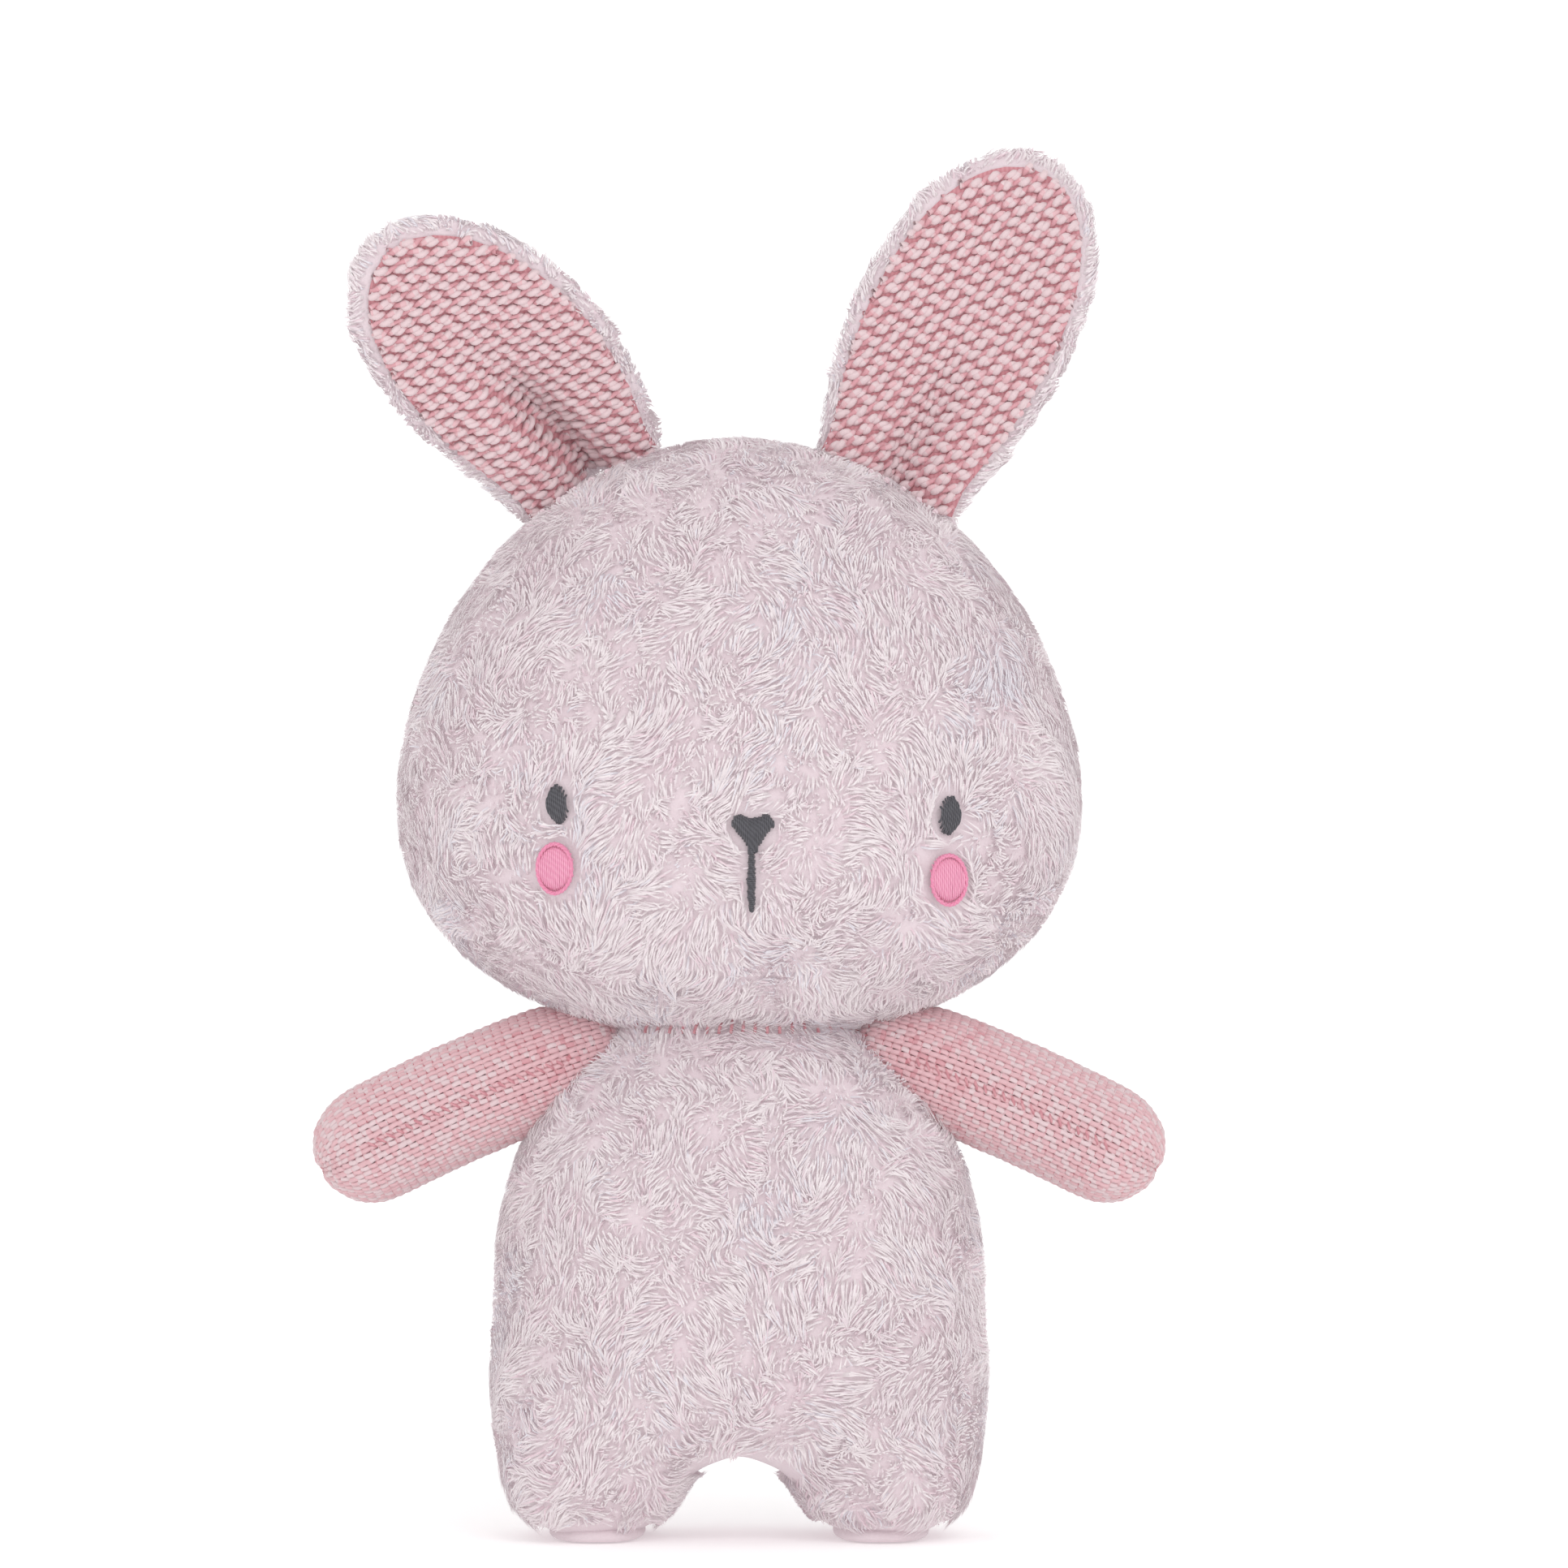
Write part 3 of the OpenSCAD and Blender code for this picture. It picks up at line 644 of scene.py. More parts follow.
SIDES = (("left", 1), ("right", -1))
for side, hand in SIDES:
    start, end, down = fold_plane(hand)
    leg = cut(whole_body, f"{side}_leg_half", (0, 0, 0), (-hand, 0, 0))
    leg_cover = cut(leg, f"{side}_leg_cover", start, -down)
    bpy.data.objects.remove(leg)
    belongs(leg_cover,
            stands_for=[f"{side}_leg_{part}" for part in ("front", "back", "stuffing")])
    blend_leg(leg_cover, side, hand)
halves = []
for side, hand in SIDES:
    start, end, down = fold_plane(hand)
    half = cut(whole_body, f"{side}_half", (0, 0, 0), (-hand, 0, 0))
    halves.append(cut(half, f"{side}_torso", start, down))
    bpy.data.objects.remove(half)
with bpy.context.temp_override(active_object=halves[0], selected_editable_objects=halves):
    bpy.ops.object.join()
torso_cover = halves[0]
torso_cover.name = "torso_cover"
weld = torso_cover.modifiers.new("weld", "WELD")
weld.merge_threshold = 0.02 * MM
settle(torso_cover)
bpy.data.objects.remove(whole_body)
belongs(torso_cover, "torso", ("body_front", "body_back", "body_stuffing"))
print("body: torso cover and two leg covers")

# %% Where the pile grows
FACE_NODES = ("left_eye", "right_eye", "nose", "mouth", "left_cheek", "right_cheek")


def off_the_face(points, normals, room=0.6):
    """No pile grows through the embroidery."""
    grows = np.ones(len(points), bool)
    for name in FACE_NODES:
        low, high = box_mm(name)
        across = (points[:, 0] - (low[0] + high[0]) / 2) / ((high[0] - low[0]) / 2 + room)
        along = (points[:, 2] - (low[2] + high[2]) / 2) / ((high[2] - low[2]) / 2 + room)
        grows &= ~((across ** 2 + along ** 2 < 1) & (points[:, 1] < 0))
    return grows


def off_the_label(points, normals):
    """No pile grows through the folded tape in the side seam."""
    low, high = box_mm("care_label")
    return ~((points > low - 1.5) & (points < high + 1.5)).all(1)


PILE_LONG = 5.6
QUARTERS = {"front_left": (1, -1), "front_right": (-1, -1),
            "back_left": (1, 1), "back_right": (-1, 1)}
FURRED = (("head", head_cover, 100, off_the_face), ("torso", torso_cover, 200, off_the_label))
for quarter, (hand, sign) in QUARTERS.items():
    for body, cover, seed, tips_allowed in FURRED:
        fur = grow_pile(f"{body}_pile_{quarter}", cover, PILE_LONG, seed + 3 * sign + hand,
                        lambda p, n: (p[:, 1] * sign >= 0) & (p[:, 0] * hand >= 0),
                        tips_allowed=tips_allowed)
        belongs(fur, body)
# No pile grows under the feet, where the soles are
for side, hand in SIDES:
    fur = grow_pile(f"{side}_leg_pile", bpy.data.objects[f"{side}_leg_cover"], PILE_LONG,
                    300 + hand, lambda p, n: n[:, 2] > -0.75)
    belongs(fur)
    blend_leg(fur, side, hand)

# %% [markdown]
# The neck is a wad of filling inside the seam between head and body. It never shows on the
# real toy, but when the head nods a little of it could, so a plush collar ball stands there and
# turns with the neck. The hand stitches at the ear roots are already the right shape in the
# frame, so they only get their thread.

# %% Thread and tape materials
def twisted(name, dark, light, pitch, roughness, sheen):
    """Spun thread or yarn: two tones wound round each other at a pitch in millimetres."""
    made = material(name, roughness=roughness, sheen_weight=sheen)
    tree = made.node_tree
    place = node(tree, "ShaderNodeTexCoord").outputs["Object"]
    ply = node(tree, "ShaderNodeTexWave", {"Vector": place, "Scale": 0.3 / (pitch * MM),
                                           "Distortion": 2.0}, bands_direction="DIAGONAL")
    fuzz = node(tree, "ShaderNodeTexNoise", {"Vector": place, "Scale": 1 / (pitch * MM * 2)})
    both = node(tree, "ShaderNodeMath", {0: ply.outputs["Fac"], 1: fuzz.outputs["Fac"]},
                operation="MULTIPLY")
    tint = node(tree, "ShaderNodeMix", {0: both.outputs[0], 6: colour(dark), 7: colour(light)},
                data_type="RGBA")
    relief = node(tree, "ShaderNodeBump", {"Height": ply.outputs["Fac"], "Strength": 0.5,
                                           "Distance": 0.1 * MM})
    shader = tree.nodes["Principled BSDF"]
    tree.links.new(tint.outputs[2], shader.inputs["Base Color"])
    tree.links.new(relief.outputs["Normal"], shader.inputs["Normal"])
    return made


sewing_thread = twisted("polyester_sewing_thread", "#D9BFC6", "#F0E2E6", 0.5, 0.6, 0.2)
charcoal_floss = twisted("rayon_embroidery_charcoal", "#3E3D43", "#626168", 0.6, 0.5, 0.25)
pink_floss = twisted("rayon_embroidery_pink", "#E092B0", "#ECACC3", 0.6, 0.5, 0.25)
deep_floss = twisted("rayon_embroidery_deep_pink", "#DC82A4", "#E797B3", 0.6, 0.5, 0.25)
seam_yarn = twisted("cotton_seam_yarn_rose", "#C0818A", "#DDA9AF", 0.9, 0.85, 0.3)
tape = twisted("woven_polyester_tape", "#EAE6E1", "#F8F6F3", 0.4, 0.55, 0.1)
for name in ("left_ear_stitches", "right_ear_stitches"):
    dress(frame["nodes"][name], sewing_thread)
print("threads: sewing, 3 flosses, seam yarn and tape")


# %% Neck ball
def round_rings(centre, radius, squash, pole):
    """Rings of a ball, flattened by a squash, between two small openings at its poles."""
    turn = full_turn(32)
    for climb in np.radians(np.linspace(-pole, pole, 16)):
        yield np.array(centre) + np.stack([
            radius * math.cos(climb) * np.cos(turn), radius * math.cos(climb) * np.sin(turn),
            np.full(32, squash * radius * math.sin(climb))], -1)


neck_low, neck_high = box_mm("neck_stuffing")
neck_rings = round_rings(neck, (neck_high[0] - neck_low[0]) * 0.34, 0.75, 86)
neck_ball = stuffed("neck_ball", loft(neck_rings), backing, 4, 1)
belongs(neck_ball, "neck", ["neck_stuffing"])

# %% [markdown]
# Each ear is a leaf of plush with a knitted lining, lightly padded and sewn so that its rim rolls
# forward round the lining. At the root the ear is pleated and gathered into the head,
# which leaves a deep crease up its middle. The leaf is described once in its own plane, across
# and along the ear, and then set up on the ear's own hinge from the frame.

# %% Ear plane
# How far each ear's tip bows outward, and how much its padding draws it in, in millimetres
EAR_BEND = {"left": 3, "right": 12}
EAR_TRIM = {"left": 2, "right": 6}


class EarPlane:
    """An ear's own axes, read from its hinge and from where the frame's ear points."""

    def __init__(self, side):
        hinge = joints[f"{side}_ear_flop"]
        self.root = np.array(hinge["pos_m"]) / MM
        self.across = unit(np.array(hinge["axis"], float))
        shape = coordinates(frame["nodes"][f"{side}_ear_back"].data) - self.root
        far = shape[np.argsort(-np.linalg.norm(shape, axis=1))[:6]].mean(0)
        self.along = unit(far - (far @ self.across) * self.across)
        self.out = np.cross(self.across, self.along)
        self.long = float((shape @ self.along).max())
        self.wide = float(np.abs(shape @ self.across).max()) * 2
        self.bend = math.copysign(EAR_BEND[side], self.root[0])
        self.long -= EAR_TRIM[side]

    def bent(self, v):
        """How far a leaf that bows outward has moved sideways at a distance from its root."""
        return self.bend * np.clip(v / self.long, 0, None) ** 1.2

    def place(self, u, v, w):
        """From across, along and outward millimetres to the toy's own frame."""
        u, v, w = (np.asarray(a, float)[..., None] for a in (u, v, w))
        u = u + self.bent(v)
        return self.root + u * self.across + v * self.along + w * self.out

    def flat(self, points):
        """Across, along and outward millimetres of points in the toy's own frame."""
        away = points - self.root
        v = away @ self.along
        return away @ self.across - self.bent(v), v, away @ self.out


# Where along its length the ear is widest, half its root's width, the room left for its pile,
# and how far its padding stands to the back and to the front of its middle
EAR_WIDEST = 0.45
EAR_ROOT_HALF = 17
EAR_RIM_INSET = 1.6
EAR_THICK_BACK, EAR_THICK_FRONT = 6.4, 4.4


def leaf_half(share, half):
    """Half the ear's width at a share of its length."""
    share = np.clip(share, 0, 1)
    low = EAR_ROOT_HALF + (half - EAR_ROOT_HALF) * np.sin(share / EAR_WIDEST * math.pi / 2)
    high = half * (1 - (np.clip(share - EAR_WIDEST, 0, 1) / (1 - EAR_WIDEST)) ** 2.3) ** 0.5
    return np.where(share < EAR_WIDEST, low, high)


def smoothstep(x):
    x = np.clip(x, 0, 1)
    return x * x * (3 - 2 * x)


# How each ear is creased: how deep and how far up the pleat runs, how far it wanders sideways,
# and where and how high the outer lip rolls forward
CREASES = {"left": {"deep": 8, "reach": 34, "wander": 2, "lip_at": 10, "lip": 2.0},
           "right": {"deep": 13, "reach": 50, "wander": -6, "lip_at": -9, "lip": 6.5}}


def ear_bow(side, u, v, half):
    """How far the middle of the ear's thickness lies behind its flat plane."""
    crease = CREASES[side]
    cup = -7.5 * (1 - np.clip(np.abs(u) / half, 0, 1) ** 2) * smoothstep((v + 8) / 30)
    fade = 1 - smoothstep(v / crease["reach"])
    middle = 1 + crease["wander"] * np.clip(v / crease["reach"], 0, 1)
    pleat = -crease["deep"] * fade * np.exp(-((u - middle) / 5.2) ** 2)
    lip = crease["lip"] * np.exp(-((u - crease["lip_at"]) / 6.5) ** 2 - ((v - 20) / 17) ** 2)
    return cup + pleat + lip


def ear_leaf(side, plane, inset):
    """Rings of one ear from the rim of its back round to the front."""
    half, long = plane.wide / 2 - inset, plane.long - inset
    share = 1 - (1 - np.linspace(0, 1, 26)) ** 1.7
    right = np.stack([leaf_half(share * 0.995, half), share * long], -1)
    outline = np.concatenate([right, right[::-1] * [-1, 1]])
    root = np.stack([np.linspace(-EAR_ROOT_HALF, EAR_ROOT_HALF, 14)[1:-1], np.full(12, 0)], -1)
    outline = np.concatenate([outline, root])
    outline[:, 1] -= 13 * (1 - outline[:, 1] / long) ** 3
    middle = np.array([0, 0.42 * long])
    for turn in np.linspace(-84, 84, 29):
        ring = middle + (outline - middle) * math.cos(math.radians(turn)) ** 0.8
        u, v = ring.T
        thick = EAR_THICK_BACK if turn < 0 else EAR_THICK_FRONT
        w = ear_bow(side, u, v, half) + thick * math.sin(math.radians(turn))
        yield plane.place(u, v, w)


ears = {}
for side, hand in SIDES:
    plane = ears[side] = EarPlane(side)
    cover = stuffed(f"{side}_ear_cover", loft(ear_leaf(side, plane, EAR_RIM_INSET)), backing,
                    2.2, 0.8)
    belongs(cover,
            stands_for=[f"{side}_ear_back", f"{side}_ear_wadding"])
    print(side, "ear", round(plane.long), "by", round(plane.wide), "mm")

# %% [markdown]
# The lining is hand-look moss stitch in a marled cotton yarn: plain and purl stitches
# alternate in round bumps. The yarn is tinted off-white over each bump's top and rose in the
# dips round it: painted highlight and shade over the yarn's own marl. It could be a bump map,
# but at this size each bump is as big as a peppercorn, so it is knitted from real yarn. Every
# course is one length of yarn that rises over a bump and dips between two, half a step
# apart from the course below. A rose cloth lies behind it, deeper in colour than the yarn,
# which shows in the gaps between stitches as painted shade.

# %% Yarn and cloth materials
# A rose cloth under the yarn on the ears and arms. Its colour, deeper than the yarn's, shows in the
# gaps between stitches as painted shade
gap_shade_cloth = material("rose_jersey_painted_gap_shade", roughness=0.95, sheen_weight=0.2)
tree = gap_shade_cloth.node_tree
place = node(tree, "ShaderNodeTexCoord").outputs["Object"]
ribs = node(tree, "ShaderNodeTexWave", {"Vector": place, "Scale": 0.3 / (1.0 * MM)})
tint = node(tree, "ShaderNodeMix", {0: ribs.outputs["Fac"], 6: colour("#C08189"),
                                    7: colour("#CB9299")}, data_type="RGBA")
tree.links.new(tint.outputs[2], tree.nodes["Principled BSDF"].inputs["Base Color"])

YARN_TINTS = {"offwhite": "#D9C2C5", "marl": "#D8B0B5", "rose": "#D09AA1", "deep_rose": "#C27E86"}
yarns = [material(f"marled_cotton_yarn_{name}", base_color=colour(code), roughness=0.9,
                  sheen_weight=0.35)
         for name, code in YARN_TINTS.items()]
OFFWHITE, MARL, ROSE, DEEP_ROSE = range(4)


def strand_tube(line, ups, radius, sides, closed=False):
    """Points and quads of a tube along a line, with ups pointing away from the cloth."""
    line, ups = np.asarray(line), np.asarray(ups)
    along = unit(np.roll(line, -1, 0) - np.roll(line, 1, 0)) if closed \
        else unit(np.gradient(line, axis=0))
    across = unit(np.cross(along, ups))
    above = np.cross(across, along)
    turn = full_turn(sides)
    radius = np.broadcast_to(radius, len(line))[:, None, None]
    ring = (np.cos(turn)[None, :, None] * across[:, None]
            + np.sin(turn)[None, :, None] * above[:, None]) * radius
    points = (line[:, None] + ring).reshape(-1, 3)
    quads = grid_faces(len(line), sides, True)
    if closed:
        last = (len(line) - 1) * sides
        here = np.arange(sides)
        beside = (here + 1) % sides
        quads = np.concatenate([quads, np.stack([last + here, last + beside, beside, here], -1)])
    return points, quads


class YarnWork:
    """Gathers many tubes into one mesh, with a tint for each length of yarn."""

    def __init__(self):
        self.points, self.quads, self.slots, self.count = [], [], [], 0

    def add(self, line, ups, radius, sides, tints, closed=False):
        points, quads = strand_tube(line, ups, radius, sides, closed)
        self.points.append(points)
        self.quads.append(quads + self.count)
        tints = np.broadcast_to(tints, len(line))
        self.slots.append(np.repeat(tints[:len(quads) // sides], sides))
        self.count += len(points)

    def piece(self, name, materials):
        made = new_piece(name, np.concatenate(self.points), np.concatenate(self.quads),
                         materials, np.concatenate(self.slots))
        print(name, sum(len(q) for q in self.quads) * 2, "triangles")
        return made


def surface_of(piece):
    mesh = piece.data
    return BVHTree.FromPolygons([v.co / MM for v in mesh.vertices],
                                [tuple(p.vertices) for p in mesh.polygons])


def land(surface, starts, directions):
    """Where rays first meet a surface, with its normals; rays that miss give not-a-number."""
    places, normals = np.full((2, len(starts), 3), np.nan)
    for i, (start, direction) in enumerate(zip(starts, np.broadcast_to(directions, starts.shape))):
        hit, normal, _, _ = surface.ray_cast(Vector(start), Vector(direction))
        if hit is not None:
            places[i], normals[i] = hit, normal
    return places, normals


def stitch_over(work, surface, starts, inward, lift, radius):
    """One stitch laid on a surface, if all of it meets the surface, raised by a lift."""
    places, normals = land(surface, starts, inward)
    if not np.isnan(places).any():
        work.add(places + normals * lift[:, None], normals, radius, 6, 0)


# %% Ear linings
# Bump to bump along a course, and course to course
BUMP_PITCH = 4.4
COURSE_PITCH = 2.25
# The yarn is two plies: each one's radius, its offset from the middle, and the twist's pitch
PLIES, PLY_R, PLY_OFFSET, PLY_PITCH = 2, 0.8, 0.5, 4.1
# How wide a rim of plush shows round the lining, and where the lining starts below the hinge
LINING_INSET = 6.2
LINING_FOOT = -7
# How steeply the courses run across each ear, in degrees
COURSE_SLOPE = {"left": 38, "right": -33}


def inside_leaf(u, v, plane, inset):
    """True where a place in the ear's plane lies on the lining."""
    half, long = plane.wide / 2 - inset, plane.long - inset
    return (v > LINING_FOOT) & (v < long) & (np.abs(u) < leaf_half(v / long, half) - 0.6 * (v < 8))


for side, hand in SIDES:
    plane = ears[side]
    cover = bpy.data.objects[f"{side}_ear_cover"]
    surface = surface_of(cover)
    tilt = math.radians(COURSE_SLOPE[side])
    course_way = np.array([math.cos(tilt), math.sin(tilt)])
    rise_way = np.array([-math.sin(tilt), math.cos(tilt)])
    middle = np.array([0, plane.long * 0.45])
    work = YarnWork()
    courses = int(plane.long / COURSE_PITCH)
    steps = 12
    for course in range(-courses // 2 - 6, courses // 2 + 7):
        s = np.arange(-plane.long * 0.6, plane.long * 0.6, BUMP_PITCH / steps)
        phase = s / BUMP_PITCH * 2 * math.pi + course * math.pi
        sway = 0.35 * np.sin(phase * 0.5 + course)
        flat = (middle + s[:, None] * course_way
                + (course * COURSE_PITCH + sway)[:, None] * rise_way)
        u, v = flat.T
        on = inside_leaf(u, v, plane, LINING_INSET)
        inside = np.flatnonzero(on)
        for run in np.split(inside, np.flatnonzero(np.diff(inside) > 1) + 1):
            if len(run) < steps:
                continue
            starts = plane.place(u[run], v[run], np.full(len(run), 40.0))
            places, normals = land(surface, starts, -plane.out)
            good = ~np.isnan(places[:, 0])
            if good.sum() < steps:
                continue
            places, normals, height = places[good], normals[good], np.cos(phase[run][good])
            line = places + normals * (0.75 + 0.45 * height)[:, None]
            depth = -plane.flat(places)[2]
            # How deep in the ear's crease the stitch lies, which sets the painted crease shade
            # below
            fold = smoothstep((depth - 7) / 7)
            along = unit(np.gradient(line, axis=0))
            beside = np.cross(along, normals)
            twist = s[run][good] / PLY_PITCH * 2 * math.pi + 2.1 * course
            for ply in range(PLIES):
                turn = (twist + 2 * math.pi * ply / PLIES)[:, None]
                wound = line + PLY_OFFSET * (np.cos(turn) * beside + np.sin(turn) * normals)
                # Bump tops take the off-white tint and dips the rose one: painted highlight and
                # shade, broken up by the marl noise
                marl_and_painted_light = height + 0.45 * smooth_noise(line, 3, 71 + ply)
                tints = np.where(marl_and_painted_light > (0.0 if ply else 0.55), OFFWHITE, MARL)
                tints = np.where(marl_and_painted_light < -0.45, ROSE, tints)
                # Deep in the crease the yarn is tinted rose, then deep rose: painted shade in the
                # fold
                tints = np.where((fold > 0.35) & (height < 0.5), ROSE, tints)
                tints = np.where(fold > 0.75, DEEP_ROSE, tints)
                work.add(wound, normals, PLY_R * (1 + 0.15 * height), 5, tints)
    knit = work.piece(f"{side}_ear_lining_knit", yarns)
    belongs(knit, stands_for=[f"{side}_ear_lining"])

    # The rose cloth behind the knit, whose deeper colour paints shade into the gaps between
    # stitches
    rows, columns = 40, 26
    v = np.linspace(LINING_FOOT, plane.long - LINING_INSET - 0.3, rows)[:, None] * np.ones(columns)
    half = leaf_half(v / (plane.long - LINING_INSET), plane.wide / 2 - LINING_INSET)
    u = half * np.linspace(-1, 1, columns)
    starts = plane.place(u, v, np.full(u.shape, 40.0)).reshape(-1, 3)
    places, normals = land(surface, starts, -plane.out)
    lost = np.isnan(places[:, 0])
    places[lost] = starts[lost] - 45 * plane.out
    normals[lost] = plane.out
    cloth = new_piece(f"{side}_ear_lining_cloth", places + normals * 0.5,
                      grid_faces(rows, columns, False), [gap_shade_cloth])
    belongs(cloth)

    def plush_side(points, normals, plane=plane):
        u, v, w = plane.flat(points)
        covered = inside_leaf(u, v, plane, LINING_INSET - 0.6) & (normals @ plane.out > 0.1)
        return ~covered

    fur = grow_pile(f"{side}_ear_pile", cover, 3.6, 400 + hand, plush_side, density=1.6,
                    droop=plane.along * 0.9)
    belongs(fur)
    root, top = plane.place(0, -1, 0), plane.place(0, 12, 0)
    for piece in (cover, knit, cloth, fur):
        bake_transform(piece)

# %% [markdown]
# The arms are knitted tubes in stocking stitch, closed round the hand and gathered at the
# shoulder. In stocking stitch every course is a row of loops pulled through the row below, which
# shows as columns of small V shapes with a pinprick gap between them. The
# whole arm is knitted that way from yarn, round a swelled tube of cloth: the loop's path
# is one formula with a sway across, a rise up to the next course, and a dip behind it.

# %% Arms
# A stitch is 2.6 mm wide and 2.15 mm tall, of yarn 1.4 mm thick
LOOP_WIDE, LOOP_TALL, YARN_R = 2.6, 2.15, 0.7
# How far the arm's root is tucked in past the shoulder and up, where its elbow lies outward and
# down from there, and how thick the root is against the hand
ARM_TUCK, ARM_TUCK_UP = 12, 5
ELBOW_OUT, ELBOW_DOWN = 13, 3
ARM_ROOT_SHARE = 0.86


class ArmLine:
    """An arm's centre line from its shoulder hinge to the middle of its round hand."""

    def __init__(self, side, hand):
        self.shoulder = np.array(joints[f"{side}_arm_swing"]["pos_m"]) / MM
        low, high = box_mm(f"{side}_arm_knit")
        self.radius = (high[1] - low[1]) / 2
        tip = high[0] if hand > 0 else low[0]
        self.inward = -hand
        self.hand = np.array([tip - hand * self.radius, 0, low[2] + self.radius])
        self.root_radius = box_mm(f"{side}_shoulder_gather")[1][1]

    def at(self, share):
        """The curve from inside the shoulder, over the elbow, to the hand."""
        share = np.atleast_1d(share)[:, None]
        inside = self.shoulder + [self.inward * ARM_TUCK, 0, ARM_TUCK_UP]
        elbow = self.shoulder - [self.inward * ELBOW_OUT, 0, ELBOW_DOWN]
        return ((1 - share) ** 2 * inside + 2 * share * (1 - share) * elbow
                + share ** 2 * self.hand)

    def thickness(self, share):
        return self.radius * (ARM_ROOT_SHARE
                              + (1 - ARM_ROOT_SHARE) * smoothstep(np.asarray(share) * 4))

    def stations(self, spacing, inset):
        """Centres, directions and radii of rings along the arm and round the hand's end."""
        fine = np.linspace(0, 1, 200)
        centres = self.at(fine)
        radii = self.thickness(fine) - inset
        # A rounded end inside the shoulder, so the arm can swing without showing an edge
        start = np.linspace(math.radians(-84), 0, 40)[:-1]
        start_way = unit(centres[1] - centres[0])
        centres = np.concatenate([centres[0] + np.sin(start)[:, None] * radii[0] * 0.6 * start_way,
                                  centres])
        radii = np.concatenate([np.cos(start) * radii[0], radii])
        walked = np.concatenate([[0], np.cumsum(np.linalg.norm(np.diff(centres, axis=0), axis=1))])
        end_way = unit(centres[-1] - centres[-2])
        end = np.linspace(0, math.radians(84), 60)[1:]
        cap = radii[-1]
        centres = np.concatenate([centres, centres[-1] + np.sin(end)[:, None] * cap * end_way])
        walked = np.concatenate([walked, walked[-1] + end * cap])
        radii = np.concatenate([radii, np.cos(end) * cap])
        tilts = np.concatenate([start, np.zeros(200), end])
        ways = unit(np.gradient(centres, axis=0))
        stops = np.arange(0, walked[-1], spacing)
        pick = [np.interp(stops, walked, centres[:, i]) for i in range(3)]
        way = [np.interp(stops, walked, ways[:, i]) for i in range(3)]
        return (np.stack(pick, -1), unit(np.stack(way, -1)), np.interp(stops, walked, radii),
                np.interp(stops, walked, tilts))


def ring_round(centre, way, radius, turn, tilt=0.0):
    """Points round a centre from the front, with their outward and onward directions."""
    front = unit(np.array([0, -1, 0]) - way * (np.array([0, -1, 0]) @ way))
    side_way = np.cross(way, front)
    out = np.cos(turn)[:, None] * front + np.sin(turn)[:, None] * side_way
    points = centre + out * radius
    return (points, out * math.cos(tilt) + way * math.sin(tilt),
            way * math.cos(tilt) - out * math.sin(tilt))


